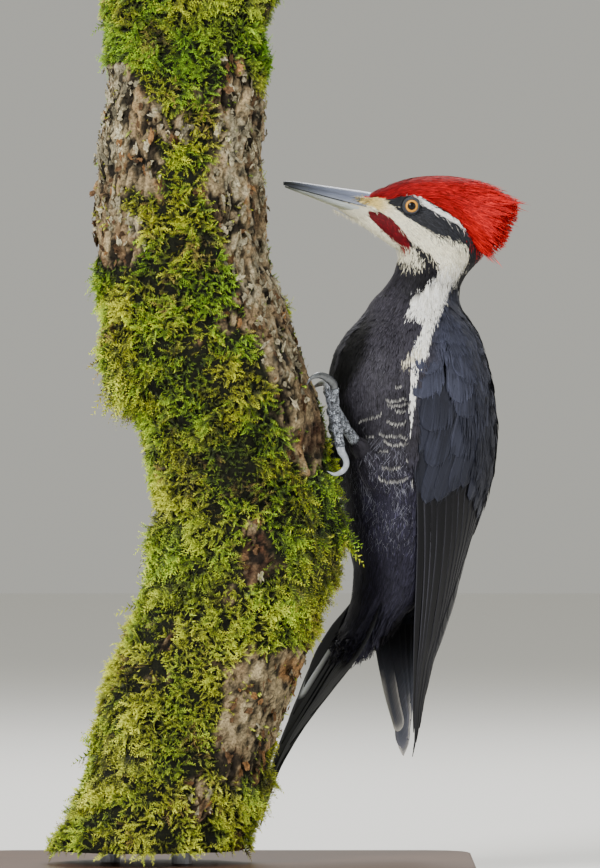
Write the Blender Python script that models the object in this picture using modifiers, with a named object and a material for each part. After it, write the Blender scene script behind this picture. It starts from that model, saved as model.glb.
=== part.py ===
"""A male pileated woodpecker clinging to a length of crooked, mossy trunk on a display stand, at life size.

Lengths are in millimetres until a mesh is made. +Z is up and the origin is the middle of the base's underside.
The bird is told in its own level axes: forward (the way its belly faces) and left, from the middle of its body.
"""

import math

import bmesh
import bpy
import numpy as np

MM = 0.001
GAP = 0.3  # left between neighbouring pieces

# The bird: where its body's middle stands, and how far its belly is turned from -X towards the viewer.
BODY_X, BODY_Y = 114.0, 35.0
BODY_TURN = 27.0
HEAD_Y = 30.0

# The body with its folded wings: height, forward depth, back depth, half width.
BODY_SIDES = 24
BODY_ROWS = (
    (183, 34.5, 26.0, 35.0),
    (200, 38.5, 33.0, 40.0),
    (224, 40.5, 41.2, 45.0),
    (242, 42.5, 45.2, 47.5),
    (265, 47.5, 47.6, 49.5),
    (283, 49.8, 45.5, 49.5),
    (301, 49.6, 41.3, 48.5),
    (313, 46.0, 37.8, 45.0),
    (324, 38.5, 34.0, 39.5),
    (336, 27.7, 26.6, 31.0),
    (346.85, 24.9, 24.7, 25.4),
)
# Below the wings the vent and the tail coverts run forward along the tail: height, middle forward, depth, half width.
VENT_ROWS = (
    (133, 44.5, 3.5, 14.0),
    (137, 40.5, 6.5, 18.0),
    (143, 35.0, 9.5, 21.0),
    (151, 28.5, 13.2, 21.5),
    (160, 20.5, 17.2, 24.5),
    (171, 12.0, 23.5, 29.0),
)
# The neck: height, x, y, turn, forward depth, back depth, half width.
NECK_SIDES = 22
NECK_HEIGHTS = (347.15, 351, 356, 363, 370, 380)
NECK_ROWS = (
    (347.15, 117.2, 33.4, 20.0, 24.7, 24.6, 25.3),
    (354, 121.4, 32.0, 12.0, 22.0, 22.0, 21.4),
    (363, 127.2, 30.6, 5.0, 23.4, 23.4, 19.8),
    (372, 130.0, 30.0, 1.0, 22.5, 22.0, 18.2),
    (382, 131.0, 30.0, 0.0, 19.0, 18.0, 16.0),
)

# The head, seen from its left side: x, top, underside, half width.
HEAD_SIDES, HEAD_SQUARENESS = 20, 2.15
HEAD_ROWS = (
    (68.5, 397.6, 396.6, 0.8),
    (76, 400.0, 391.6, 4.4),
    (84, 403.2, 386.6, 7.0),
    (90, 406.3, 382.6, 9.2),
    (96, 408.8, 378.4, 11.4),
    (103, 410.6, 373.4, 13.6),
    (111, 411.8, 370.6, 15.8),
    (120, 411.6, 368.6, 17.6),
    (130, 409.4, 366.6, 18.4),
    (139, 404.4, 364.4, 17.4),
    (147, 395.6, 363.4, 14.2),
    (153, 385.6, 364.6, 9.4),
    (156.5, 378.0, 369.0, 4.0),
)
# The raised crest over it: x, top, underside, half width.
CREST_SIDES, CREST_SQUARENESS = 18, 2.0
CREST_ROWS = (
    (90.5, 405.6, 402.6, 2.0),
    (94, 407.4, 400.6, 5.6),
    (101, 411.0, 398.6, 8.8),
    (110, 414.0, 398.0, 10.6),
    (120, 415.6, 396.0, 11.8),
    (131, 416.1, 390.0, 12.0),
    (142, 415.3, 381.0, 11.0),
    (151, 413.2, 374.0, 9.6),
    (159, 410.4, 370.6, 7.4),
    (166, 406.4, 374.6, 5.0),
    (171.5, 403.0, 386.0, 3.0),
    (175.2, 400.8, 396.0, 1.2),
)
# The upper half of the bill: x, height of its ridge, half width; and the lower half: x, lower edge, half width.
UPPER_BILL_ROWS = (
    (37.3, 413.2, 1.4),
    (40, 413.1, 2.0),
    (50, 412.0, 3.5),
    (62, 410.3, 5.0),
    (74, 408.6, 6.3),
    (86, 406.9, 7.4),
    (93, 405.4, 7.8),
)
LOWER_BILL_ROWS = (
    (38.2, 409.6, 1.1),
    (41, 408.2, 1.8),
    (51, 404.2, 3.1),
    (63, 399.4, 4.5),
    (75, 395.0, 5.7),
    (86, 391.4, 6.7),
    (93, 389.2, 7.0),
)
BILL_PARTING = 0.15  # from the straight line where the halves meet to each of them
GAPE_X, GAPE_Z = 97.0, 394.6
BILL_TIP_X, BILL_TIP_Z = 37.3, 410.6

EYE_X, EYE_Z = 113.3, 397.9
EYE_RADIUS = 5.6
EYE_OUT = 12.3  # from the middle of the head to the middle of each eyeball

# A folded wing: height, then forward and left of its lower edge, its crown and its upper edge, and its thickness.
WING_ROWS = (
    (337.5, 8.0, 27.0, -5.0, 30.4, -17.0, 22.6, 3.0),
    (331, 15.5, 31.4, -10.0, 34.8, -26.0, 19.0, 4.0),
    (322, 22.0, 34.4, -15.0, 38.2, -33.5, 14.0, 5.0),
    (310, 26.5, 38.8, -18.5, 41.8, -37.8, 11.0, 5.4),
    (294, 27.0, 42.4, -21.5, 44.4, -42.4, 10.4, 5.6),
    (265, 23.6, 44.2, -24.0, 44.2, -47.2, 10.4, 5.6),
    (240, 20.6, 42.4, -22.6, 42.2, -44.8, 10.2, 5.4),
    (218, 18.4, 39.6, -18.6, 38.2, -39.4, 9.6, 5.0),
    (200, 16.8, 36.6, -14.6, 33.6, -33.4, 9.0, 4.6),
    (182, 15.4, 32.8, -9.6, 28.4, -29.2, 8.4, 4.0),
    (165, 14.4, 29.6, -5.0, 24.2, -25.0, 8.0, 3.6),
    (150, 13.6, 27.0, -1.6, 21.6, -19.4, 8.0, 3.2),
    (139, 12.9, 25.2, 0.6, 20.4, -15.0, 8.4, 3.0),
    (128, 11.8, 22.8, 1.4, 17.6, -10.2, 8.4, 2.6),
    (116, 10.2, 19.8, 2.4, 15.6, -7.2, 8.2, 2.4),
    (104, 8.7, 16.6, 2.6, 13.2, -4.2, 7.8, 2.2),
    (92, 6.8, 12.8, 2.8, 10.8, -2.4, 7.0, 2.0),
    (81, 5.2, 9.6, 2.6, 8.6, 0.0, 6.0, 1.7),
    (71.5, 3.5, 6.2, 3.0, 6.1, 2.4, 5.8, 1.2),
)
WING_STEPS = (132, 119, 107, 96, 86)  # heights of the shorter flight feathers' tips, along the upper edge
WING_STEP_DROP = 1.0
WING_STEP_SHARE = 0.13  # of the wing's breadth, that each tip stands out
WING_COLUMNS = 7
WRIST_OUT = 6.0  # the far wing's bend stands this far forward of the near one's
WRIST_HEIGHT, WRIST_SPREAD = 318.0, 22.0
WING_ROOM = 12.0  # how far outside the wing the room cut for it in the body reaches

# The tail: height, x of its middle, half width. Its middle line stays in the body's own middle plane.
TAIL_ROWS = (
    (162, 88.6, 20.0),
    (150, 83.0, 27.0),
    (133, 73.6, 32.0),
    (117, 62.6, 28.5),
    (99, 50.4, 21.5),
    (86, 42.4, 15.0),
    (69, 33.8, 9.6),
    (52, 28.4, 6.0),
    (32.5, 23.4, 2.2),
)
TAIL_STEPS = (114.0, 98.0, 81.0, 64.0, 47.0)  # heights of the tips on each side, from the outer feather inwards
TAIL_STEP, TAIL_STEP_DROP = 3.2, 2.0  # how far a tip stands out, and over what height the edge drops back
TAIL_THICK = 1.5
TAIL_COLUMNS = 7
TAIL_SLOT = 3.4  # depth of the slot that the tail's root fills in the body
TAIL_SLOT_SIDE = 6.0  # how far the slot runs past the tail on each side
TAIL_SLOT_HEIGHTS = (162, 157, 150, 142, 134, 126)
TAIL_ARCH = 5.0  # how far the fan's edges bend towards the trunk
TAIL_AWAY = 6.0  # how far its tip leans away from the viewer

# Thighs and feet, in the body's axes: forward, left, height. The right ones mirror these about the perch.
THIGH_ROWS = (
    ((20.0, 23.0, 231.0), 9.0),
    ((26.0, 23.4, 236.0), 13.0),
    ((35.0, 22.8, 243.0), 12.4),
    ((42.5, 23.0, 249.5), 8.4),
    ((46.6, 24.0, 253.6), 4.4),
)
PALM_HEIGHT = 276.0
PALM_TURN = -6.0  # where the left palm lies round the perch, from +X
TARSUS_RADIUS = 3.2
TOE_RADIUS = 3.1
CLAW_RADIUS = 2.1
THIGH_SIDES, LEG_SIDES, TOE_SIDES, CLAW_SIDES = 12, 8, 7, 6
# Four toes from the palm, each as its own points and then its claw's: rise from the palm, turn round the
# perch and distance off its surface. The first two grip upwards, the third down, the fourth is the small one.
TOES = (
    (((7, -4, 7.6), (13.5, -5, 10.0)), ((17.5, -7, 10.4), (21.2, -13, 8.0), (20, -20, 4.6), (15.5, -24, 0.9))),
    (((7, 6, 5.4), (12.5, 11, 5.2)), ((15.5, 14, 6.4), (17, 19, 6.2), (16, 24, 4.0), (13.5, 28, 0.9))),
    (((-10, -5, 7.0), (-20.5, -7, 9.0)), ((-27, -8, 11.0), (-32.5, -8, 10.0), (-36.6, -11, 4.6), (-34.8, -16, 0.9))),
    (((-4, 8, 4.4), (-10, 14, 4.0)), ((-13.5, 17, 5.6), (-17.0, 20, 5.2), (-19.0, 23, 3.0), (-19.0, 25, 0.9))),
)
# Where a claw's rings stand along its points, and their radii as shares: thick to past the bend, then a point.
CLAW_STEPS = (0, 1.2, 2.0, 2.7, 3.4, 4.2, 5)
CLAW_SHARES = (1.15, 1.12, 1.05, 0.97, 0.86, 0.6, 0.12)

# The perch: height, left edge, right edge, as seen from the front.
LOG_ROWS = (
    (20, -101, 18),
    (36, -92, 22),
    (53, -82, 28),
    (70, -76, 31),
    (88, -72, 36),
    (106, -71, 43),
    (124, -64, 49),
    (142, -57, 58),
    (160, -49, 61.5),
    (176, -44, 67),
    (192, -41, 73),
    (206, -40, 75.5),
    (222, -38.5, 73),
    (240, -40, 67),
    (256, -45, 63.5),
    (272, -49, 63),
    (286, -60, 59.5),
    (304, -70, 53),
    (322, -69, 46),
    (342, -71, 38.5),
    (362, -73, 30),
    (382, -74, 29),
    (404, -74.5, 28),
    (424, -73, 24.5),
    (444, -71, 27),
    (460, -67.5, 28),
    (478, -66, 29),
    (496, -69, 26.5),
    (514, -70, 34),
    (531, -69, 40),
)
LOG_SIDES = 22
LOG_LUMP = 2.6
LOG_BACK_Y = -26.0  # the depth of the perch's middle above the bird's breast
LOG_STRAIGHTENS, LOG_BLEND = 350.0, 18.0  # the height where it takes that depth, and over what height it does so

BASE_LONG, BASE_WIDE, BASE_THICK = 300.0, 230.0, 12.0
BASE_CORNER, BASE_EDGE = 26.0, 2.0
ROD_RADIUS, ROD_SIDES = 6.0, 16
ROD_IN_LOG = 22.0
ROD_SPOTS = ((-64.0, -34.0), (-22.0, -52.0))


def between(rows, at):
    """The row of a table at a place in its first column, on a smooth curve through the rows."""
    table = np.array(rows, float)
    if table[0, 0] > table[-1, 0]:
        table = table[::-1]
    places = table[:, 0]
    slopes = np.gradient(table, places, axis=0)
    i = int(np.clip(np.searchsorted(places, at) - 1, 0, len(places) - 2))
    span = places[i + 1] - places[i]
    t = min(max((at - places[i]) / span, 0.0), 1.0)
    start = (1 + 2 * t) * (1 - t) ** 2 * table[i] + t * (1 - t) ** 2 * span * slopes[i]
    end = t * t * (3 - 2 * t) * table[i + 1] + t * t * (t - 1) * span * slopes[i + 1]
    return start + end


def placed(forward, left, height, turn=BODY_TURN, x=BODY_X, y=BODY_Y):
    """A point in world axes, from the bird's own."""
    angle = math.radians(turn)
    return np.array((
        x - forward * math.cos(angle) + left * math.sin(angle),
        y - forward * math.sin(angle) - left * math.cos(angle),
        height,
    ))


def unit(vector):
    return np.asarray(vector, float) / max(np.linalg.norm(vector), 1e-9)


def finish(name, mesh, material, collection):
    piece = bpy.data.objects.new(name, mesh)
    piece.data.materials.append(material)
    collection.objects.link(piece)
    mesh.shade_smooth()
    mesh.set_sharp_from_angle(angle=math.radians(40))
    return piece


def loft(name, rings, material, collection, band=False):
    """One closed body through rings of points. A band's ring runs out along one face and back along the other."""
    shape = bmesh.new()
    loops = [[shape.verts.new(np.array(point) * MM) for point in ring] for ring in rings]
    count = len(loops[0])
    for low, high in zip(loops, loops[1:]):
        for i in range(count):
            shape.faces.new((low[i], low[(i + 1) % count], high[(i + 1) % count], high[i]))
    for loop, ring in ((loops[0], rings[0]), (loops[-1], rings[-1])):
        if band:
            for i in range(count // 2 - 1):
                shape.faces.new((loop[i], loop[i + 1], loop[count - 2 - i], loop[count - 1 - i]))
            continue
        middle = shape.verts.new(np.mean(ring, axis=0) * MM)
        for i in range(count):
            shape.faces.new((loop[i], loop[(i + 1) % count], middle))
    bmesh.ops.recalc_face_normals(shape, faces=shape.faces)
    mesh = bpy.data.meshes.new(name)
    shape.to_mesh(mesh)
    shape.free()
    return finish(name, mesh, material, collection)


def tube(name, points, radii, sides, material, collection):
    """A loft of round rings along a path."""
    points = [np.asarray(point, float) for point in points]
    rings = []
    for i, (point, radius) in enumerate(zip(points, radii)):
        along = unit(points[min(i + 1, len(points) - 1)] - points[max(i - 1, 0)])
        side = unit(np.cross(along, (0, 0, 1)))
        up = np.cross(side, along)
        rings.append([
            point + radius * (math.cos(a) * side + math.sin(a) * up)
            for a in np.arange(sides) * 2 * math.pi / sides
        ])
    return loft(name, rings, material, collection)


def boolean(piece, cutter, operation="DIFFERENCE"):
    step = piece.modifiers.new(f"{operation}_{cutter.name}", "BOOLEAN")
    step.operation = operation
    step.solver = "EXACT"
    step.object = cutter


def as_cutter(piece):
    piece.hide_render = True
    piece.display_type = "WIRE"
    return piece


def material(name, colour, roughness, metallic=0.0):
    made = bpy.data.materials.new(name)
    made.use_nodes = True
    shader = made.node_tree.nodes["Principled BSDF"]
    shader.inputs["Base Color"].default_value = (*colour, 1.0)
    shader.inputs["Roughness"].default_value = roughness
    shader.inputs["Metallic"].default_value = metallic
    made.diffuse_color = (*colour, 1.0)
    return made


# ---------------------------------------------------------------- body and neck


def oval(front, back, half, sides, turn, x, y, height):
    """A level ring with its own forward and back depths."""
    ring = []
    for a in np.arange(sides) * 2 * math.pi / sides:
        depth = front if math.cos(a) > 0 else back
        ring.append(placed(depth * math.cos(a), half * math.sin(a), height, turn, x, y))
    return ring


def body_ring(height):
    if height <= VENT_ROWS[-1][0]:
        _, middle, depth, half = between(VENT_ROWS, height)
        x, y, _ = placed(middle, 0, height)
        return oval(depth, depth, half, BODY_SIDES, BODY_TURN, x, y, height)
    _, front, back, half = between(BODY_ROWS, height)
    return oval(front, back, half, BODY_SIDES, BODY_TURN, BODY_X, BODY_Y, height)


def make_body(materials, parts):
    vent = [row[0] for row in VENT_ROWS]
    trunk = [row[0] for row in BODY_ROWS]
    heights = sorted(vent + trunk + [212, 253, 292])
    return loft("trunk", [body_ring(h) for h in heights], materials["black_feather"], parts)


def neck_ring(height, grow=0.0):
    _, x, y, turn, front, back, half = between(NECK_ROWS, height)
    return oval(front + grow, back + grow, half + grow, NECK_SIDES, turn, x, y, height)


def make_neck(materials, parts):
    return loft("neck", [neck_ring(h) for h in NECK_HEIGHTS], materials["black_feather"], parts)


# ---------------------------------------------------------------- head, crest, bill and eyes


def side_ring(x, top, underside, half, sides, grow, squareness):
    """An upright ring across the head, with its widest level halfway up."""
    middle, tall = (top + underside) / 2, (top - underside) / 2 + grow
    ring = []
    for a in np.arange(sides) * 2 * math.pi / sides:
        across = math.copysign(abs(math.cos(a)) ** (2 / squareness), math.cos(a))
        up = math.copysign(abs(math.sin(a)) ** (2 / squareness), math.sin(a))
        ring.append(np.array((x, HEAD_Y + (half + grow) * across, middle + tall * up)))
    return ring


def head_loft(name, rows, sides, grow, squareness, look, collection):
    start, end = rows[0][0], rows[-1][0]
    rings = []
    for x, top, underside, half in rows:
        shift = -grow if x == start else grow if x == end else 0.0
        rings.append(side_ring(x + shift, top, underside, half, sides, grow, squareness))
    return loft(name, rings, look, collection)


def gape_line(x):
    """Height of the line between the bill's two halves."""
    return BILL_TIP_Z + (GAPE_Z - BILL_TIP_Z) * (x - BILL_TIP_X) / (GAPE_X - BILL_TIP_X)


def upper_bill_ring(x, ridge, half, grow):
    """A roofed section: flat below, a low shoulder at each side, and a narrow ridge on top."""
    low = gape_line(x) + BILL_PARTING
    tall = ridge - low
    shape = ((1.0, 0.0), (0.98, 0.3), (0.72, 0.62), (0.36, 0.9), (0.12, 1.0))
    right = [(half * w + grow, low + tall * h + (grow if h > 0.5 else 0.0)) for w, h in shape]
    right[0] = (half + grow, low - grow)
    left = [(-w, z) for w, z in reversed(right)]
    return [np.array((x, HEAD_Y + w, z)) for w, z in right + left]


def lower_bill_ring(x, bottom, half, grow):
    """A section with a flat top and a rounded keel below."""
    high = gape_line(x) - BILL_PARTING
    deep = high - bottom
    shape = ((1.0, 0.0), (0.96, 0.35), (0.72, 0.7), (0.34, 0.94), (0.1, 1.0))
    right = [(half * w + grow, high - deep * h - (grow if h > 0.5 else 0.0)) for w, h in shape]
    right[0] = (half + grow, high + grow)
    left = [(-w, z) for w, z in reversed(right)]
    return [np.array((x, HEAD_Y + w, z)) for w, z in right + left]


def bill_half(name, rows, ring, grow, look, collection):
    rings = []
    for row in rows:
        x = row[0] + (grow if row is rows[-1] else -grow if row is rows[0] else 0.0)
        rings.append(ring(x, row[1], row[2], grow))
    return loft(name, rings, look, collection)


def eyeball(name, side, grow, look, collection):
    shape = bmesh.new()
    bmesh.ops.create_uvsphere(shape, u_segments=12, v_segments=7, radius=(EYE_RADIUS + grow) * MM)
    mesh = bpy.data.meshes.new(name)
    shape.to_mesh(mesh)
    shape.free()
    piece = finish(name, mesh, look, collection)
    piece.rotation_euler = (math.pi / 2, 0, 0)
    piece.location = np.array((EYE_X, HEAD_Y + side * EYE_OUT, EYE_Z)) * MM
    return piece


def make_head(materials, parts, cutters, neck):
    head = head_loft("head", HEAD_ROWS, HEAD_SIDES, 0.0, HEAD_SQUARENESS, materials["cream_feather"], parts)
    crest = head_loft("crest", CREST_ROWS, CREST_SIDES, 0.0, CREST_SQUARENESS, materials["red_feather"], parts)
    for name, rows, ring, look in (
        ("bill_upper", UPPER_BILL_ROWS, upper_bill_ring, "dark_horn"),
        ("bill_lower", LOWER_BILL_ROWS, lower_bill_ring, "pale_horn"),
    ):
        bill_half(name, rows, ring, 0.0, materials[look], parts)
        boolean(head, as_cutter(bill_half(f"{name}_socket", rows, ring, GAP, materials[look], cutters)))
    for name, side in (("eye_left", -1), ("eye_right", 1)):
        eyeball(name, side, 0.0, materials["eye"], parts)
        socket = as_cutter(eyeball(f"{name}_socket", side, GAP, materials["eye"], cutters))
        boolean(head, socket)
        boolean(crest, socket)
    swollen = as_cutter(
        head_loft("head_room", HEAD_ROWS, HEAD_SIDES, GAP, HEAD_SQUARENESS, materials["cream_feather"], cutters)
    )
    boolean(crest, swollen)
    boolean(neck, swollen)
    low, *inner, high = NECK_HEIGHTS
    collar = [neck_ring(h, GAP) for h in (low - GAP, *inner, high + GAP)]
    boolean(crest, as_cutter(loft("neck_room", collar, materials["black_feather"], cutters)))


# ---------------------------------------------------------------- wings


def arc_through(a, b, c, share):
    """A point on the round arc from a over b to c, at a share of its sweep, and the direction outwards there."""
    a, b, c = (complex(*point) for point in (a, b, c))
    w = (c - a) / (b - a)
    middle = (b - a) * (w - abs(w) ** 2) / (2j * w.imag) + a
    start, end = a - middle, c - middle
    sweep = math.atan2((end / start).imag, (end / start).real)
    arm = start * complex(math.cos(sweep * share), math.sin(sweep * share))
    point = middle + arm
    return np.array((point.real, point.imag)), np.array((arm.real, arm.imag)) / abs(arm)


def wing_outline(height, wrist):
    """The wing's lower edge, crown and upper edge at a height, each forward and left, and its thickness."""
    _, ef, el, cf, cl, uf, ul, thick = between(WING_ROWS, height)
    bend = wrist * math.exp(-((height - WRIST_HEIGHT) / WRIST_SPREAD) ** 2)
    return (ef + bend, el - bend * 0.2), (cf, cl), (uf, ul), thick


def stepped(height, tips, depth):
    """How far an edge stands out at a height: it grows down to each feather's tip and drops back below it."""
    tips = sorted(tips, reverse=True)
    above = tips[0] + 1.8 * (tips[0] - tips[1])
    for tip in tips:
        if height >= tip:
            return depth * max(0.0, min(1.0, (above - height) / (above - tip)))
        above = tip
    return 0.0


def wing_rings(side, wrist, grow_in=0.0, grow_out=0.0, grow_edge=0.0):
    """The wing's rings from top to tip: out along its outer face from the lower edge, and back along the inner."""
    heights = [row[0] for row in WING_ROWS]
    heights += [tip - drop for tip in WING_STEPS for drop in (0.0, WING_STEP_DROP)]
    rings = []
    for height in sorted(heights, reverse=True):
        edge, crown, top, thick = wing_outline(height, wrist)
        reach_end = 1.0 + stepped(height, WING_STEPS, WING_STEP_SHARE)
        if height == WING_ROWS[0][0]:
            height += grow_edge
        if height == WING_ROWS[-1][0]:
            height -= grow_edge
        outer, inner = [], []
        for i in range(WING_COLUMNS):
            share = i / (WING_COLUMNS - 1)
            reach = share * reach_end + (grow_edge / 60) * (2 * share - 1)
            point, out = arc_through(edge, crown, top, reach)
            body = thick * (0.22 + 0.78 * math.sin(math.pi * (0.06 + 0.88 * share)) ** 0.7)
            outer.append(placed(*(point + out * grow_out) * (1, side), height))
            inner.append(placed(*(point - out * (body + grow_in)) * (1, side), height))
        rings.append(outer + inner[::-1])
    return rings


def make_wing(name, side, wrist, materials, parts, cutters, trunk):
    look = materials["wing_feather"]
    loft(name, wing_rings(side, wrist), look, parts, band=True)
    swollen = wing_rings(side, wrist, 2 * GAP, WING_ROOM, GAP)
    rings = [ring for ring in swollen if ring[0][2] > WING_STEPS[0]]
    boolean(trunk, as_cutter(loft(f"{name}_room", rings, look, cutters, band=True)))


# ---------------------------------------------------------------- tail


def tail_point(height, across=0.0, lift=0.0):
    """A point of the tail's fan: across is left of its middle line, lift is towards the bird's back."""
    _, x, half = between(TAIL_ROWS, height)
    forward = (BODY_X - x) / math.cos(math.radians(BODY_TURN))
    lean = TAIL_AWAY * ((TAIL_ROWS[0][0] - height) / (TAIL_ROWS[0][0] - TAIL_ROWS[-1][0])) ** 2
    arch = TAIL_ARCH * (across / 33.0) ** 2
    point = placed(forward + arch - lift, across, height)
    return point + np.array((0.0, lean, 0.0))


def fan_ring(height, half, depth):
    """A band across the tail's fan, as far each way as half, and as thick as depth."""
    places = np.linspace(-half, half, TAIL_COLUMNS)
    front = [tail_point(height, across, -depth / 2) for across in places]
    back = [tail_point(height, across, depth / 2) for across in places[::-1]]
    return front + back


def make_tail(materials, parts, cutters, trunk):
    look = materials["tail_feather"]
    top, end = TAIL_ROWS[0][0], TAIL_ROWS[-1][0]
    heights = [row[0] for row in TAIL_ROWS]
    heights += [tip - drop for tip in TAIL_STEPS for drop in (0.0, TAIL_STEP_DROP)]
    rings = []
    for height in sorted(heights, reverse=True):
        half = between(TAIL_ROWS, height)[2] + stepped(height, TAIL_STEPS, TAIL_STEP)
        ridge = TAIL_THICK * (1.0 + 0.6 * (height - end) / (top - end))
        rings.append(fan_ring(height, half, ridge))
    loft("tail", rings, look, parts, band=True)
    slot = []
    for height in TAIL_SLOT_HEIGHTS:
        half = between(TAIL_ROWS, height)[2] + TAIL_SLOT_SIDE
        slot.append([point + (0, 0, GAP * (height == top)) for point in fan_ring(height, half, TAIL_SLOT)])
    boolean(trunk, as_cutter(loft("tail_slot", slot, look, cutters, band=True)))


# ---------------------------------------------------------------- perch


def log_middle(height):
    """The perch's middle: its bends lie in the bird's own middle plane beside the bird."""
    _, left, right = between(LOG_ROWS, height)
    x = (left + right) / 2
    in_plane = BODY_Y + (x - BODY_X) * math.tan(math.radians(BODY_TURN))
    above = 1 / (1 + math.exp(-(height - LOG_STRAIGHTENS) / LOG_BLEND))
    return x, in_plane * (1 - above) + LOG_BACK_Y * above, (right - left) / 2


def log_radius(height, angle):
    """Its radius with the lumps of bark and moss, which leave the outline seen from the front as it is."""
    half = log_middle(height)[2]
    lump = math.sin(angle) ** 2 * (
        math.sin(3 * angle + height / 31) + math.sin(2 * angle - height / 17 + 1.3)
    )
    return half * (1 - 0.05 * math.sin(angle) ** 2) + LOG_LUMP * lump


def on_log(height, angle, out):
    """A point over the perch's surface."""
    x, y, _ = log_middle(height)
    reach = log_radius(height, angle) + out
    return np.array((x + reach * math.cos(angle), y + reach * math.sin(angle), height))


def make_perch(materials, parts, cutters):
    heights = [row[0] for row in LOG_ROWS]
    turns = np.arange(LOG_SIDES) * 2 * math.pi / LOG_SIDES
    rings = [[on_log(h, a, 0.0) for a in turns] for h in heights]
    log = loft("perch_log", rings, materials["mossy_bark"], parts)
    for i, (x, y) in enumerate(ROD_SPOTS, start=1):
        bottom, top = BASE_THICK + GAP, heights[0] + ROD_IN_LOG
        round_bar(f"stand_rod_{i}", x, y, bottom, top, ROD_RADIUS, materials["steel"], parts)
        bore = round_bar(f"bore_{i}", x, y, bottom, top + GAP, ROD_RADIUS + GAP, materials["steel"], cutters)
        boolean(log, as_cutter(bore))


def round_bar(name, x, y, bottom, top, radius, look, collection):
    shape = bmesh.new()
    bmesh.ops.create_cone(
        shape, cap_ends=True, segments=ROD_SIDES, radius1=radius * MM, radius2=radius * MM, depth=(top - bottom) * MM
    )
    mesh = bpy.data.meshes.new(name)
    shape.to_mesh(mesh)
    shape.free()
    piece = finish(name, mesh, look, collection)
    piece.location = (x * MM, y * MM, (top + bottom) / 2 * MM)
    return piece


def make_base(materials, parts):
    corners = []
    for turn in range(4):
        sx, sy = ((1, 1), (-1, 1), (-1, -1), (1, -1))[turn]
        cx, cy = sx * (BASE_LONG / 2 - BASE_CORNER), sy * (BASE_WIDE / 2 - BASE_CORNER)
        for step in range(4):
            a = math.radians(90 * turn + 30 * step)
            corners.append((cx + BASE_CORNER * math.cos(a), cy + BASE_CORNER * math.sin(a)))
    shape = bmesh.new()
    low = [shape.verts.new((x * MM, y * MM, 0)) for x, y in corners]
    face = shape.faces.new(low)
    raised = bmesh.ops.extrude_face_region(shape, geom=[face])["geom"]
    top = [v for v in raised if isinstance(v, bmesh.types.BMVert)]
    bmesh.ops.translate(shape, verts=top, vec=(0, 0, BASE_THICK * MM))
    bmesh.ops.recalc_face_normals(shape, faces=shape.faces)
    mesh = bpy.data.meshes.new("stand_base")
    shape.to_mesh(mesh)
    shape.free()
    base = finish("stand_base", mesh, materials["dark_wood"], parts)
    edge = base.modifiers.new("edge", "BEVEL")
    edge.width = BASE_EDGE * MM
    edge.segments = 2
    edge.limit_method = "ANGLE"
    return base


# ---------------------------------------------------------------- legs, feet and claws


def grip(side, rise, turn, out):
    """A point over the perch, told from a palm; the right foot mirrors the left about the bird's middle plane."""
    angle = PALM_TURN + turn
    if side < 0:
        angle = 2 * BODY_TURN - angle
    return on_log(PALM_HEIGHT + rise, math.radians(angle), out)


def curved(points):
    """A claw's points, on a smooth curve through the ones given."""
    full = [2 * points[0] - points[1], *points, 2 * points[-1] - points[-2]]
    path = []
    for step in CLAW_STEPS:
        i = min(int(step), len(points) - 2)
        t = step - i
        a, b, c, d = full[i : i + 4]
        path.append(0.5 * (2 * b + (c - a) * t + (2 * a - 5 * b + 4 * c - d) * t**2 + (3 * b - 3 * c + d - a) * t**3))
    return path


def make_leg(word, side, materials, parts, cutters, trunk):
    """A feathered thigh sunk in the body, then a scaly shank and four toes in one piece, and a claw on each toe."""
    feather, scale, horn = (materials[k] for k in ("black_feather", "leg_scale", "claw_horn"))
    path = [placed(forward, side * left, height) for (forward, left, height), _ in THIGH_ROWS]
    radii = [radius for _, radius in THIGH_ROWS]
    tube(f"thigh_{word}", path, radii, THIGH_SIDES, feather, parts)
    room = tube(f"thigh_{word}_room", path, [radius + GAP for radius in radii], THIGH_SIDES, feather, cutters)
    boolean(trunk, as_cutter(room))

    out = unit(path[-1] - path[-2])
    start = path[-1] + out * GAP
    ankle = start + out * 3.0
    palm = grip(side, 0.0, 0.0, 5.4)
    leg = tube(
        f"foot_{word}",
        [start, ankle, (ankle + palm) / 2, palm, grip(side, 3.0, 0.0, 5.0)],
        [TARSUS_RADIUS * share for share in (0.9, 1.0, 0.95, 1.35, 1.15)],
        LEG_SIDES,
        scale,
        parts,
    )
    for i, (toe_points, claw_points) in enumerate(TOES, start=1):
        knuckle, end = (grip(side, *point) for point in toe_points)
        toe_path = [palm, (palm + knuckle) / 2, knuckle, (knuckle + end) / 2, end]
        toe_radii = [TOE_RADIUS * share for share in (1.0, 0.98, 1.05, 0.9, 0.98)]
        toe = tube(f"toe_{word}_{i}", toe_path, toe_radii, TOE_SIDES, scale, cutters)
        boolean(leg, as_cutter(toe), "UNION")
        along = unit(end - knuckle)
        claw_path = curved([end + along * GAP, end + along * 2.2] + [grip(side, *point) for point in claw_points])
        claw_radii = [CLAW_RADIUS * share for share in CLAW_SHARES]
        tube(f"claw_{word}_{i}", claw_path, claw_radii, CLAW_SIDES, horn, parts)


# ---------------------------------------------------------------- the whole model


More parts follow.
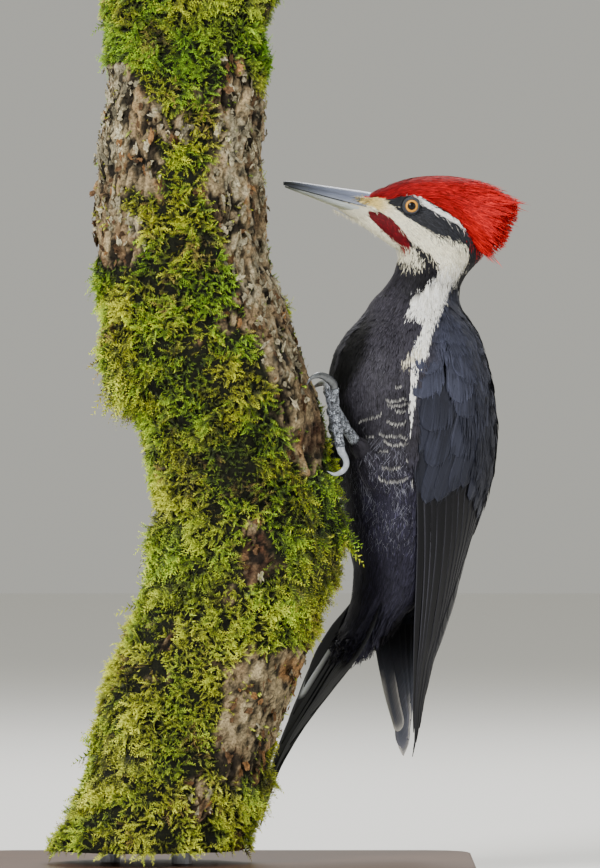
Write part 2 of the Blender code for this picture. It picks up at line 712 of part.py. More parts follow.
def main():
    for thing in list(bpy.data.objects):
        bpy.data.objects.remove(thing)
    parts = bpy.data.collections.new("pileated_woodpecker")
    cutters = bpy.data.collections.new("cutters")
    for collection in (parts, cutters):
        bpy.context.scene.collection.children.link(collection)
    materials = {
        "black_feather": material("black_feather", (0.045, 0.042, 0.046), 0.75),
        "cream_feather": material("cream_feather", (0.78, 0.74, 0.60), 0.8),
        "red_feather": material("red_feather", (0.70, 0.015, 0.015), 0.7),
        "wing_feather": material("wing_feather", (0.05, 0.052, 0.062), 0.55),
        "tail_feather": material("tail_feather", (0.03, 0.028, 0.03), 0.5),
        "dark_horn": material("dark_horn", (0.17, 0.19, 0.25), 0.3),
        "pale_horn": material("pale_horn", (0.42, 0.44, 0.44), 0.35),
        "eye": material("eye", (0.6, 0.3, 0.05), 0.1),
        "leg_scale": material("leg_scale", (0.30, 0.32, 0.37), 0.5),
        "claw_horn": material("claw_horn", (0.2, 0.2, 0.21), 0.25),
        "mossy_bark": material("mossy_bark", (0.16, 0.19, 0.05), 0.9),
        "dark_wood": material("dark_wood", (0.06, 0.032, 0.018), 0.4),
        "steel": material("steel", (0.55, 0.55, 0.56), 0.3, 1.0),
    }
    trunk = make_body(materials, parts)
    neck = make_neck(materials, parts)
    make_head(materials, parts, cutters, neck)
    make_wing("wing_left", 1, 0.0, materials, parts, cutters, trunk)
    make_wing("wing_right", -1, WRIST_OUT, materials, parts, cutters, trunk)
    make_tail(materials, parts, cutters, trunk)
    make_leg("left", 1, materials, parts, cutters, trunk)
    make_leg("right", -1, materials, parts, cutters, trunk)
    make_perch(materials, parts, cutters)
    make_base(materials, parts)


main()
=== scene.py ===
"""The looks of a life-size pileated woodpecker clinging to a mossy trunk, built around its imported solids.

Sizes are in millimetres until a mesh is made. The bird's own axes are forward (the way its belly faces), left
and up.
"""

import math

import bpy
import numpy as np
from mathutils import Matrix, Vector
from mathutils.bvhtree import BVHTree
from mathutils.kdtree import KDTree


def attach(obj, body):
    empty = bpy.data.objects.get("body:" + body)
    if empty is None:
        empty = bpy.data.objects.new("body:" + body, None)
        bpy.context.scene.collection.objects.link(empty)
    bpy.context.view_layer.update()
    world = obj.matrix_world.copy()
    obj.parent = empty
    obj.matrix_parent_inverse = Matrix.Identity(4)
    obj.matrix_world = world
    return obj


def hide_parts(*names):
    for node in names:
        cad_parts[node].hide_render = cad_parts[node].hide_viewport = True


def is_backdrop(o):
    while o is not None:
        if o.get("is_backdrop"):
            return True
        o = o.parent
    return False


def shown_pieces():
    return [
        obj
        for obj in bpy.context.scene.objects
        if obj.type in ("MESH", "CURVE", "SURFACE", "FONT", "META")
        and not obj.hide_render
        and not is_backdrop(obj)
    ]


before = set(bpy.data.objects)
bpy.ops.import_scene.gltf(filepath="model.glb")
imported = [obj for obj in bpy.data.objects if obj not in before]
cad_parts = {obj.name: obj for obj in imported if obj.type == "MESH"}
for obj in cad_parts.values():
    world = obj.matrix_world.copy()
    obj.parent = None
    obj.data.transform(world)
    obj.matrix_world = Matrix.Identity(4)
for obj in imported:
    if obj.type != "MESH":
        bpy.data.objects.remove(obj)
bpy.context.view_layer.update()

# ------------------------------------------------------------------ skin
# The bird's skin under the coat: one closed surface over head, neck, trunk and thighs. It is the solids
# joined, smoothed and drawn in by the coat's depth, and has the same markings as the feathers, darkened
# as painted shade deep in the coat.
MM = 0.001
BODY_X, BODY_Y, HEAD_Y = 114.0, 35.0, 30.0  # the body's upright middle line, and the middle of the head
BODY_TURN = 27.0  # how many degrees the belly is turned to the front of the stand
FLESH = ("head", "crest", "neck", "trunk", "thigh_left", "thigh_right")
SKIN_VOXEL, SKIN_SMOOTHING = 1.3, 8
rng = np.random.default_rng(41)

# How the coat lies, at places of the bird's left side: x, height, lie (0 towards the back, -90 down),
# feather length and breadth, spacing and depth.
COAT = (
    (88, 404, -2, 4.0, 1.6, 1.15, 0.8),
    (92, 397, -25, 3.4, 1.5, 1.1, 0.8),
    (101, 401, -12, 3.0, 1.3, 1.1, 0.8),
    (113, 405, -8, 3.2, 1.3, 1.1, 0.9),
    (113, 391, -30, 3.4, 1.5, 1.1, 0.9),
    (122, 399, -22, 4.2, 1.6, 1.2, 1.2),
    (132, 388, -35, 5.6, 2.0, 1.4, 1.6),
    (144, 381, -48, 7.0, 2.4, 1.7, 2.2),
    (106, 391, -36, 4.2, 1.6, 1.2, 1.2),
    (118, 380, -40, 5.6, 2.0, 1.4, 1.8),
    (132, 371, -55, 7.5, 2.6, 1.7, 2.4),
    (146, 369, -80, 8.5, 3.0, 2.0, 2.6),
    (76, 396, -20, 2.4, 1.1, 1.1, 0.6),
    (92, 389, -42, 3.6, 1.6, 1.15, 0.9),
    (104, 380, -50, 4.6, 1.8, 1.3, 1.4),
    (80, 389, -32, 3.0, 1.2, 1.15, 0.7),
    (94, 379, -42, 4.2, 1.6, 1.3, 1.1),
    (106, 370, -52, 5.5, 2.0, 1.5, 1.8),
    (116, 362, -88, 7.5, 3.0, 1.9, 2.6),
    (131, 354, -103, 9.0, 3.8, 2.2, 3.0),
    (146, 356, -92, 9.0, 4.0, 2.3, 3.0),
    (104, 340, -108, 9.5, 5.0, 2.6, 3.4),
    (124, 336, -100, 10.0, 5.0, 2.6, 3.4),
    (146, 338, -72, 11.0, 5.5, 2.8, 3.4),
    (82, 318, -100, 11.0, 6.0, 3.0, 3.8),
    (110, 316, -94, 11.0, 6.0, 3.0, 3.8),
    (158, 312, -72, 14.0, 7.0, 3.6, 4.0),
    (70, 282, -90, 12.5, 6.5, 3.2, 4.2),
    (100, 276, -92, 12.5, 6.5, 3.2, 4.2),
    (160, 270, -92, 18.0, 8.0, 4.2, 4.4),
    (78, 238, -88, 14.0, 6.5, 3.4, 4.4),
    (108, 232, -94, 14.0, 6.5, 3.4, 4.4),
    (152, 222, -98, 20.0, 9.0, 4.6, 4.6),
    (92, 196, -102, 15.0, 6.0, 3.4, 4.4),
    (112, 186, -108, 16.0, 6.5, 3.8, 4.4),
    (82, 166, -122, 19.0, 7.5, 4.0, 4.0),
    (100, 158, -120, 20.0, 8.0, 4.4, 4.0),
    (70, 140, -122, 20.0, 8.5, 4.6, 3.0),
)


def rgb(code):
    """Linear colour of an sRGB hex code."""
    part = np.array([int(code[i : i + 2], 16) / 255 for i in (0, 2, 4)])
    return np.where(part <= 0.04045, part / 12.92, ((part + 0.055) / 1.055) ** 2.4)


def eased(low, high, value):
    """A smooth step from 0 at low to 1 at high; low may be the greater of the two."""
    share = np.clip((value - low) / (high - low), 0, 1)
    return share * share * (3 - 2 * share)


def noise(points, scale, seed):
    """Smooth noise between -1 and 1, with features about one scale across."""
    at = np.asarray(points, float) / scale + 31.7 * seed
    cell = np.floor(at).astype(np.int64)
    share = at - cell
    share = share * share * (3 - 2 * share)
    total = np.zeros(len(at))
    for corner in np.ndindex(2, 2, 2):
        place = (cell + corner) & 0xFFFFF
        mixed = (place[:, 0] * 73856093) ^ (place[:, 1] * 19349663)
        mixed = mixed ^ (place[:, 2] * 83492791) ^ (seed * 2654435761)
        mixed = ((mixed >> 13) ^ mixed) * 1274126177 & 0x7FFFFFFF
        weight = np.prod(np.where(np.array(corner) == 1, share, 1 - share), axis=1)
        total += weight * (mixed / 0x7FFFFFFF * 2 - 1)
    return total


def unit(vectors):
    return vectors / np.maximum(np.linalg.norm(vectors, axis=-1, keepdims=True), 1e-9)


def turn_at(height):
    """How far the bird is turned at a height, and its middle there: its head is in side view."""
    share = eased(345, 374, height)
    turn = np.radians(BODY_TURN * (1 - share))
    x = BODY_X + 12 * share
    y = BODY_Y + (HEAD_Y - BODY_Y) * share
    return turn, x, y


def side_view(points):
    """The x and height of points as seen on the bird's left side, with its right side mirrored onto it, and
    how far left of its middle each is."""
    turn, x, y = turn_at(points[:, 2])
    left = (points[:, 0] - x) * np.sin(turn) - (points[:, 1] - y) * np.cos(turn)
    moved = points[:, 0] - np.minimum(left, 0) * 2 * np.sin(turn)
    return moved, points[:, 2], left


def coat_at(points):
    """Directions of the coat's lie, and feather length, breadth, spacing and depth, from the table."""
    x, z, _ = side_view(points)
    table = np.array(COAT, float)
    gap = (x[:, None] - table[:, 0]) ** 2 + (z[:, None] - table[:, 1]) ** 2
    weight = 1 / (gap + 9.0) ** 2
    weight /= weight.sum(axis=1, keepdims=True)
    lie = np.radians(table[:, 2])
    back, up = weight @ np.cos(lie), weight @ np.sin(lie)
    turn = turn_at(points[:, 2])[0]
    direction = unit(np.stack([back * np.cos(turn), back * np.sin(turn), up], axis=1))
    return direction, weight @ table[:, 3:]


def band(x, z, rows):
    """Distance outside a band told by its middle line and half breadths; negative inside it."""
    best = np.full(len(x), 1e9)
    rows = np.array(rows, float)
    for (ax, az, aw), (bx, bz, bw) in zip(rows, rows[1:]):
        dx, dz = bx - ax, bz - az
        share = np.clip(((x - ax) * dx + (z - az) * dz) / (dx * dx + dz * dz), 0, 1)
        away = np.hypot(x - ax - share * dx, z - az - share * dz) - (aw + share * (bw - aw))
        best = np.minimum(best, away)
    return best


# The markings' edges on the bird's left side. The crown's is x and height; a band is the x, height and half
# breadth of places along its middle.
CROWN_EDGE = (
    (60, 403), (92, 403.3), (100, 402.6), (107.8, 404.4), (117.6, 404.6), (125.4, 399.6), (137.1, 393.5),
    (144, 386.6), (148, 379.7), (152, 374.4), (158, 369), (200, 362),
)
BROW = (
    (110.5, 405.0, 0.6), (116.5, 403.8, 1.1), (121.5, 399.2, 1.4), (132.2, 393.2, 1.5), (143.0, 387.6, 1.0),
)
EYE_STRIPE = (
    (100.5, 400.6, 1.6), (106.2, 399.6, 4.2), (113.3, 397.0, 6.0), (121, 391.8, 6.0), (129.8, 386.5, 6.0),
    (139.2, 382.4, 5.2), (147.5, 379.0, 4.0),
)
CHEEK = (
    (79, 403.6, 2.6), (90.9, 400.8, 3.4), (99.1, 397.0, 4.0), (106.2, 391.6, 5.0), (114.5, 384.4, 6.0),
    (122.7, 377.6, 7.2), (131.6, 371.7, 8.2), (139.8, 370.8, 7.8), (139, 366, 7.5),
)
NECK_STRIPE = ((137, 366, 9.0), (133.9, 361.1, 8.4), (131.4, 356.8, 7.6))
# The stripe below the neck: height, then x of its front and its back edge.
STRIPE_EDGES = (
    (262, 112.2, 112.4), (273.2, 111.8, 113.6), (280.3, 111.6, 115.0), (287.9, 112.1, 115.8),
    (300.3, 112.6, 116.6), (305, 112.4, 119.0), (309.2, 112.1, 122.3), (315.1, 113.3, 123.3),
    (321.6, 118.0, 125.0), (328, 120.0, 127.0), (331, 113.8, 128.4), (333.4, 109.0, 130.4),
    (337.5, 113.6, 131.6), (342.2, 111.4, 133.3), (346, 117.5, 134.9), (350.5, 121.5, 136.6),
    (358.1, 124.2, 139.1),
)
STRIPE_TUFT = ((116.5, 309.5, 1.8), (111.0, 305.8, 1.6), (107.4, 303.0, 0.6))
# Painted shade in the fold between the breast and the far wing's bend.
FOLD_SHADE = ((84, 327, 2.5), (81, 320, 4.5), (77, 311.5, 7.0), (73, 302.7, 7.0), (70, 296.5, 5.5), (68, 289, 2.5))
MALAR = (
    (89.0, 393.8, 1.6), (92.5, 391.6, 3.4), (96.8, 388.6, 4.4), (102.7, 383.0, 4.1), (107.6, 377.9, 3.4),
    (111.4, 374.2, 1.5),
)
THROAT = (
    (66, 397, 4.5), (84.4, 388.0, 4.6), (94.4, 379.6, 5.2), (103.3, 372.4, 5.4), (112.1, 368.4, 4.4),
    (118.6, 364.4, 3.0),
)
CHEEK_LINE = (
    (111.0, 377.6, 0.9), (116, 372.6, 1.7), (121.4, 367.2, 2.9), (126.8, 361.8, 3.4), (122.4, 357.0, 5.0),
)
CHARCOAL, BLACK, CREAM, WHITE = rgb("2d2b32"), rgb("141317"), rgb("efe8cd"), rgb("fbf9f1")
RED, DEEP_RED, OCHRE, STRIPE_GREY = rgb("c00a10"), rgb("5c0610"), rgb("e2c97c"), rgb("222328")


def marked(points):
    """The plumage's colours at points of the bird, either side."""
    x, z, _ = side_view(points)
    fuzz = 0.35 * noise(points, 0.8, 3) + 0.65 * noise(points, 3.6, 4)
    x, z = x + fuzz * 0.8, z + fuzz * 0.9
    front = eased(120, 100, x + (z - 350) * 0.2)
    colour = BLACK + (CHARCOAL - BLACK) * np.maximum(front, eased(345, 335, z))[:, None]
    # Painted light and shade: the breast is painted brighter, and the belly below it darker and bluer, as it
    # lies in shade.
    colour *= np.interp(z, (180, 225, 262, 300, 345, 352), (0.6, 0.72, 1.0, 1.45, 1.5, 1.0))[:, None]
    colour[:, 2] *= 1 + 0.4 * eased(262, 215, z)
    # Painted shade: the coat is darkened to near black in the fold by the far wing's bend.
    fold = band(points[:, 0], points[:, 2], FOLD_SHADE)
    colour *= (1 - 0.93 * eased(6.0, -1.0, fold))[:, None]

    def paint(where, shade):
        colour[where] = np.broadcast_to(shade, colour.shape)[where]

    cheek = CREAM + (WHITE - CREAM) * eased(372, 352, z)[:, None]
    paint((band(x, z, THROAT) < 0) | ((z < 400) & (x < 93) & (z > 380)), CREAM)
    paint(band(x, z, CHEEK) < 0, cheek)
    paint(band(x, z, NECK_STRIPE) < 0, cheek)
    heights, front_edge, back_edge = np.array(STRIPE_EDGES).T
    in_stripe = (x > np.interp(z, heights, front_edge)) & (x < np.interp(z, heights, back_edge))
    paint(in_stripe & (z > 262) & (z < 359), WHITE)
    paint(band(x, z, STRIPE_TUFT) < 0, 0.8 * CREAM)
    paint(band(x, z, CHEEK_LINE) < 0, BLACK)
    ochre = eased(104, 92, x) * eased(392, 397, z)
    paint((ochre > 0.02) & (band(x, z, CHEEK) < 0), CREAM + (OCHRE - CREAM) * ochre[:, None])
    paint(band(x, z, EYE_STRIPE) < 0, STRIPE_GREY)
    paint(band(x, z, MALAR) < 0, DEEP_RED)
    crown = np.interp(x, *np.array(CROWN_EDGE).T)
    paint((z > crown) & (x > 84), RED)
    paint((band(x, z, BROW) < 0) & (z < crown + 2.0), WHITE)
    return colour


def by_lock(points):
    """The markings for the four points of each lock. Its end has one colour, so that borders are loose."""
    lock = points.reshape(-1, 4, 3)
    stray = rng.normal(0, 0.5, (len(lock), 1))
    colour = marked(points).reshape(-1, 4, 3)
    colour[:, 2:] = marked(lock[:, 2] + stray * (lock[:, 3] - lock[:, 1]))[:, None]
    dark = colour.max(axis=2, keepdims=True) < 0.2
    on_dark = rng.uniform(0.62, 1.42, (len(lock), 1, 1))
    on_pale = rng.uniform(0.9, 1.12, (len(lock), 1, 1))
    return (colour * np.where(dark, on_dark, on_pale)).reshape(-1, 3)


def node(tree, kind, settings=(), links=()):
    """Adds a node. Settings are its properties or constant inputs, links are its inputs' sources."""
    made = tree.nodes.new("ShaderNode" + kind)
    for name, value in dict(settings).items():
        if isinstance(name, str) and hasattr(made, name):
            setattr(made, name, value)
        else:
            made.inputs[name].default_value = value
    for name, source in dict(links).items():
        tree.links.new(source, made.inputs[name])
    return made


def finish_of(name, **settings):
    """A Principled material and its node tree and shader; the settings are the shader's constants."""
    made = bpy.data.materials.new(name)
    made.use_nodes = True
    shader = made.node_tree.nodes["Principled BSDF"]
    for key, value in settings.items():
        shader.inputs[key.replace("_", " ")].default_value = value
    return made, made.node_tree, shader


def feather_finish(name, roughness, sheen):
    """Barbs of keratin: satin, a little sheen, with fine streaks along the tint that each point carries."""
    made, tree, shader = finish_of(name, Roughness=roughness, Specular_IOR_Level=0.17, Sheen_Weight=sheen,
                                   Sheen_Roughness=0.45)
    tint = node(tree, "Attribute", {"attribute_name": "tint"})
    place = node(tree, "TexCoord")
    # Barbules are finer than 0.1 mm; these streaks are drawn coarser, about 0.5 mm, so that they show.
    grain = node(tree, "TexNoise", {"Scale": 2000.0, "Detail": 2.0}, {"Vector": place.outputs["Object"]})
    spread = node(tree, "MapRange", {1: 0.3, 2: 0.7, 3: 0.82, 4: 1.18}, {0: grain.outputs["Fac"]})
    mixed = node(tree, "Mix", {"data_type": "RGBA", "blend_type": "MULTIPLY", 0: 1.0},
                 {6: tint.outputs["Color"], 7: spread.outputs[0]})
    tree.links.new(mixed.outputs[2], shader.inputs["Base Color"])
    return made


def piece(name, points, faces, look, tint=None, patch=None, barbs=None):
    """A mesh object from points and triangles, with each point's tint and places on two maps."""
    mesh = bpy.data.meshes.new(name)
    faces = np.asarray(faces, np.int32)
    mesh.vertices.add(len(points))
    mesh.vertices.foreach_set("co", (np.asarray(points) * MM).astype(np.float32).ravel())
    mesh.loops.add(faces.size)
    mesh.loops.foreach_set("vertex_index", faces.ravel())
    mesh.polygons.add(len(faces))
    mesh.polygons.foreach_set("loop_start", np.arange(0, faces.size, 3, dtype=np.int32))
    mesh.update(calc_edges=True)
    if tint is not None:
        layer = mesh.color_attributes.new("tint", "FLOAT_COLOR", "POINT")
        full = np.concatenate([tint, np.ones((len(tint), 1))], axis=1)
        layer.data.foreach_set("color", full.astype(np.float32).ravel())
    for label, places in (("OFBake", patch), ("barbs", barbs)):
        if places is not None:
            layer = mesh.uv_layers.new(name=label)
            layer.data.foreach_set("uv", places[faces.ravel()].astype(np.float32).ravel())
    mesh.materials.append(look)
    made = bpy.data.objects.new(name, mesh)
    bpy.context.scene.collection.objects.link(made)
    return made


def triangles(mesh):
    """A mesh's points in millimetres and its triangles."""
    mesh.calc_loop_triangles()
    points = np.empty(len(mesh.vertices) * 3, np.float32)
    mesh.vertices.foreach_get("co", points)
    faces = np.empty(len(mesh.loop_triangles) * 3, np.int32)
    mesh.loop_triangles.foreach_get("vertices", faces)
    return points.reshape(-1, 3).astype(float) / MM, faces.reshape(-1, 3)


def normals_of(points, faces):
    """The unit normal of a surface at each of its points."""
    total = np.zeros_like(points)
    corner = points[faces]
    face = np.cross(corner[:, 1] - corner[:, 0], corner[:, 2] - corner[:, 0])
    for i in range(3):
        np.add.at(total, faces[:, i], face)
    return unit(total)


def remeshed(nodes, voxel, smoothing, grow):
    """Points and triangles of the nodes' joined surface, grown, evened out on a grid and smoothed."""
    every, links, start = [], [], 0
    for name in nodes:
        points, faces = triangles(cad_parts[name].data)
        _, first, index = np.unique(np.round(points, 3), axis=0, return_index=True, return_inverse=True)
        points, faces = points[first], index.reshape(-1)[faces]
        every.append(points + grow * normals_of(points, faces))
        links.append(faces + start)
        start += len(points)
    helper = piece("helper", np.concatenate(every), np.concatenate(links), None)
    step = helper.modifiers.new("even", "REMESH")
    step.mode = "VOXEL"
    step.voxel_size = voxel * MM
    step = helper.modifiers.new("smooth", "SMOOTH")
    step.factor, step.iterations = 0.5, smoothing
    evaluated = helper.evaluated_get(bpy.context.evaluated_depsgraph_get())
    points, faces = triangles(evaluated.to_mesh())
    evaluated.to_mesh_clear()
    mesh = helper.data
    bpy.data.objects.remove(helper)
    bpy.data.meshes.remove(mesh)
    return points, faces


def neighbours(values, faces):
    """The mean of each point's neighbours in a row of values, or of points, over a surface."""
    total, count = np.zeros_like(values), np.zeros(len(values))
    for a, b in ((0, 1), (1, 2), (2, 0)):
        np.add.at(total, faces[:, a], values[faces[:, b]])
        np.add.at(count, faces[:, a], 1)
    return (total.T / np.maximum(count, 1)).T


# The coat's own surface, which the feathers reach, then its depth above the skin.
reach, reach_faces = remeshed(FLESH + ("bill_upper", "bill_lower"), SKIN_VOXEL, SKIN_SMOOTHING, 0.25)
on_neck = eased(368, 356, reach[:, 2])
flow = 0.5 * eased(316, 330, reach[:, 2]) * on_neck
for _ in range(36):  # the neck flows into the breast without a step
    reach += flow[:, None] * (neighbours(reach, reach_faces) - reach)
on_neck = eased(368, 356, reach[:, 2])
swell = 1.1 * eased(322, 334, reach[:, 2]) * on_neck + 1.8 * np.exp(-(((reach[:, 2] - 346) / 4.6) ** 2))
reach[:, 0] += swell * eased(120, 100, reach[:, 0])
reach_normals = normals_of(reach, reach_faces)
surface = BVHTree.FromPolygons([Vector(p) for p in reach], reach_faces.tolist())
thick = np.array([
    (surface.ray_cast(Vector(p - 0.05 * n), Vector(-n))[3] or 60.0) for p, n in zip(reach, reach_normals)
])
depth = np.minimum(coat_at(reach)[1][:, 3], 0.32 * thick)
for _ in range(6):  # evens the depth out between neighbours
    depth = np.minimum(depth, neighbours(depth, reach_faces))


def unwrapped(points):
    """Places on an unwrap of the body, round its upright middle and up it; the head's round its own axis."""
    _, x, y = turn_at(points[:, 2])
    around = np.arctan2(points[:, 1] - y, points[:, 0] - x) / (2 * math.pi) + 0.5
    across = np.arctan2(points[:, 2] - 389, points[:, 1] - HEAD_Y) / (2 * math.pi) + 0.5
    head = points[:, 2] > 363
    u = np.where(head, 0.02 + 0.44 * across, 0.52 + 0.44 * around)
    v = np.where(head, (points[:, 0] - 30) / 150, (points[:, 2] - 120) / 260)
    return np.stack([u, 0.02 + 0.96 * np.clip(v, 0, 1)], axis=1)


feather_look = feather_finish("feather_contour", 0.6, 0.08)
skin_look = feather_finish("skin_under_feathers", 0.8, 0.03)
# Painted shade: the skin's markings are darkened to 0.7.
skin = piece("skin", reach - reach_normals * depth[:, None], reach_faces, skin_look, marked(reach) * 0.7,
             unwrapped(reach))
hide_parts(*FLESH)

# ------------------------------------------------------------------ contour feathers
# The coat: short soft feathers of loose barbs, each a fan of narrow locks that grows out of the skin, follows
# the body to its outline, and lies over the next like tiles. They are smallest on the face.
LOCK_STEPS = np.array([0.0, 0.42, 0.76, 1.0])
# A lock is a narrow blade of seven points and five triangles: three pairs of points, then its tip.
LOCK_POINTS = 7
LOCK_FACES = np.array([[0, 1, 3], [0, 3, 2], [2, 3, 5], [2, 5, 4], [4, 5, 6]])
PATCH = 0.003  # the side of one feather's place on the OFBake map
MOST_TRIANGLES = 190000  # the most triangles in one piece; in one piece, a little under the library's limit


def scattered(points, faces, spacing, keep):
    """Even random places on the kept part of a surface, hardly any two nearer than the spacing there."""
    corner = points[faces]
    area = np.linalg.norm(np.cross(corner[:, 1] - corner[:, 0], corner[:, 2] - corner[:, 0]), axis=1) / 2
    room = spacing[faces].mean(axis=1)
    want = np.where(keep[faces].all(axis=1), area / room**2, 0) * 2.6
    number = int(want.sum())
    chosen = np.searchsorted(np.cumsum(want), rng.random(number) * want.sum())
    chosen = np.minimum(chosen, len(faces) - 1)
    a, b = rng.random((2, number))
    outside = a + b > 1
    a, b = np.where(outside, 1 - a, a)[:, None], np.where(outside, 1 - b, b)[:, None]
    place = corner[chosen, 0] * (1 - a - b) + corner[chosen, 1] * a + corner[chosen, 2] * b
    near = KDTree(number)
    for i, point in enumerate(place):
        near.insert(point, i)
    near.balance()
    gone = np.zeros(number, bool)
    for i in range(number):
        if not gone[i]:
            for _, j, _ in near.find_range(place[i], room[chosen[i]] * 0.86):
                if j > i:
                    gone[j] = True
    return place[~gone]


def coat_lie(points):
    """Directions in which the coat lies."""
    return coat_at(points)[0]


def followed(tree, place, direction_of, length, steps):
    """Paths over a surface from each place, along the lie, with the surface's normal at each step."""
    path, normal = [place], []
    at = place
    for step in np.diff(steps):
        n = np.array([tree.find_nearest(Vector(p))[1] for p in at], float)
        normal.append(n)
        lie = direction_of(at)
        lie = unit(lie - n * (lie * n).sum(axis=1, keepdims=True))
        ahead = at + lie * (length * step)[:, None]
        at = np.array([tree.find_nearest(Vector(p))[0] for p in ahead], float)
        path.append(at)
    normal.append(np.array([tree.find_nearest(Vector(p))[1] for p in at], float))
    return np.stack(path, axis=1), np.stack(normal, axis=1)


def feathers(path, normal, length, breadth, depth, locks, lift, ragged, paint, root_uv,
             streaks, painted_root_shade=0.78, steps=LOCK_STEPS):
    """Fans of locks along the paths: points, triangles, tints and OFBake places of every lock.

    Depth is how far a feather's root is sunk, lift how far its end stands off, ragged how uneven its locks'
    ends are. Paint gives the colours of the four points along each lock; the roots are darker, as painted
    shade where the feather above lies over them.
    """
    count = len(path)
    breadth, depth = (np.broadcast_to(part, count)[:, None, None] for part in (breadth, depth))
    along = unit(np.gradient(path, axis=1))
    side = unit(np.cross(along, normal))
    fan = np.linspace(-1, 1, locks) if locks > 1 else np.zeros(1)
    fan = fan[None, :] + rng.normal(0, 0.12, (count, locks))
    reach_out = 1 - 0.2 * fan**2 + rng.normal(0, ragged, (count, locks))
    t = steps[None, None, :] * reach_out[:, :, None]
    index = np.clip(t / (1 / (path.shape[1] - 1)), 0, path.shape[1] - 1.001)
    low, share = np.floor(index).astype(int), index - np.floor(index)
    rows = np.arange(count)[:, None, None]

    def along_path(values):
        return values[rows, low] * (1 - share[..., None]) + values[rows, low + 1] * share[..., None]

    past_end = np.maximum(t - 1, 0)[..., None] * (along[:, None, -1:, :] * length[:, None, None, None])
    middle = along_path(path) + past_end
    normals, sides = along_path(normal), along_path(side)
    open_out = 0.3 + 0.7 * np.minimum(steps * 1.6, 1) - 0.12 * steps**3
    offset = fan[:, :, None] * open_out * breadth / 2
    sway = rng.normal(0, 0.06, (count, locks, 1)) * steps * breadth
    sink = -depth * (1 - steps) ** 2.6 - 0.05 * breadth * fan[:, :, None] ** 2
    rise = (lift * rng.uniform(0.0, 1.0, (count, 1, 1)) + rng.normal(0, 0.07, (count, locks, 1))) * steps**2
    middle = middle + sides * (offset + sway)[..., None] + normals * (sink + rise)[..., None]
    half = breadth / locks * 0.85 * np.array([0.7, 1.0, 0.75, 0.0])
    edge = sides * half[..., None] + normals * (0.12 * half)[..., None]
    points = np.empty((count, locks, LOCK_POINTS, 3))
    points[:, :, 0:6:2] = (middle - edge)[:, :, :3]
    points[:, :, 1:6:2] = (middle + edge)[:, :, :3]
    points[:, :, 6] = middle[:, :, 3]
    tint = paint(middle.reshape(-1, 3)).reshape(count, locks, 4, 3)[:, :, [0, 0, 1, 1, 2, 2, 3]]
    # Painted shade: each lock darkens towards its root, where the next feather lies over it; its tip is a
    # little lighter.
    shade = painted_root_shade + (1.06 - painted_root_shade) * np.array([0, 0, 0.5, 0.5, 0.85, 0.85, 1.0])[:, None]
    tint = tint * shade * rng.uniform(1 - streaks, 1 + streaks, (count, locks, 1, 1))
    tint = tint * rng.uniform(0.95, 1.05, (count, 1, 1, 1))
    flat = np.array([[-1, 0], [1, 0], [-1, 0.42], [1, 0.42], [-1, 0.76], [1, 0.76], [0, 1]])
    spot = flat * (0.5 / locks, 1) + np.stack([fan / 2 * 0.8, 0 * fan - 0.5], axis=-1)[:, :, None, :]
    uv = root_uv[:, None, None, :] + PATCH * spot
    faces = (LOCK_FACES + LOCK_POINTS * np.arange(count * locks)[:, None, None]).reshape(-1, 3)
    return points.reshape(-1, 3), faces, np.clip(tint, 0, 1).reshape(-1, 3), uv.reshape(-1, 2)


def in_pieces(name, made):
    """Makes a coat in pieces of fewer triangles than the library's limit."""
    points, faces, tint, uv = made
    locks = len(points) // LOCK_POINTS
    parts = max(1, math.ceil(len(faces) / MOST_TRIANGLES))
    for i in range(parts):
        first, last = locks * i // parts, locks * (i + 1) // parts
        own = slice(LOCK_POINTS * first, LOCK_POINTS * last)
        own_faces = faces[len(LOCK_FACES) * first : len(LOCK_FACES) * last] - own.start
        label = name if parts == 1 else f"{name}_{i + 1}"
        piece(label, points[own], own_faces, feather_look, tint[own], uv[own])


EYE_X, EYE_Z = 113.3, 397.9
ORBIT = 5.6  # radius of the bare ring round each eye
side_x, side_z, _ = side_view(reach)
# The feathers' edge round the bill: height, x.
BILL_EDGE = (
    (380, 84), (389, 76), (394, 91), (396, 92), (398, 85), (401, 81), (404, 82), (406, 87), (410, 96),
)
bill_edge = np.interp(side_z, *np.array(BILL_EDGE).T)
feathered = ((side_x > bill_edge) | (side_z < 374)) & (np.hypot(side_x - EYE_X, side_z - EYE_Z) > ORBIT)
crown_line = np.interp(side_x, *np.array(CROWN_EDGE).T)
crested = feathered & (side_z > crown_line - 0.5) & (side_x > 86)
# The flank's feathers end in fine white bars, row under row: x and height of each row's two ends, and how far
# it sags.
FLANK_BARS = (
    (103.3, 289.1, 112.1, 293.5, 0.6), (98.1, 281.4, 110.8, 283.6, 1.0), (98.8, 279.1, 110.8, 280.2, 1.2),
    (103.3, 275.5, 110.6, 275.9, 0.8), (82.6, 269.2, 95.6, 273.5, 0.3), (98.5, 269.4, 110.8, 269.6, 1.8),
    (86.7, 260.3, 91.2, 261.0, 0.4), (93.7, 262.5, 106.8, 261.0, 1.2), (106.8, 260.6, 110.8, 258.6, 0.2),
    (96.6, 257.8, 111.6, 257.2, 1.8), (92.9, 251.5, 99.6, 251.9, 0.4), (109.7, 246.0, 112.7, 246.6, 0.2),
    (95.0, 242.4, 106.2, 242.7, 1.2), (93.2, 235.9, 110.9, 235.6, 1.5),
)
measures = coat_at(reach)[1]
contour = feathered & ~crested
BODY_STEPS = np.array([0.0, 0.45, 0.86, 1.0])
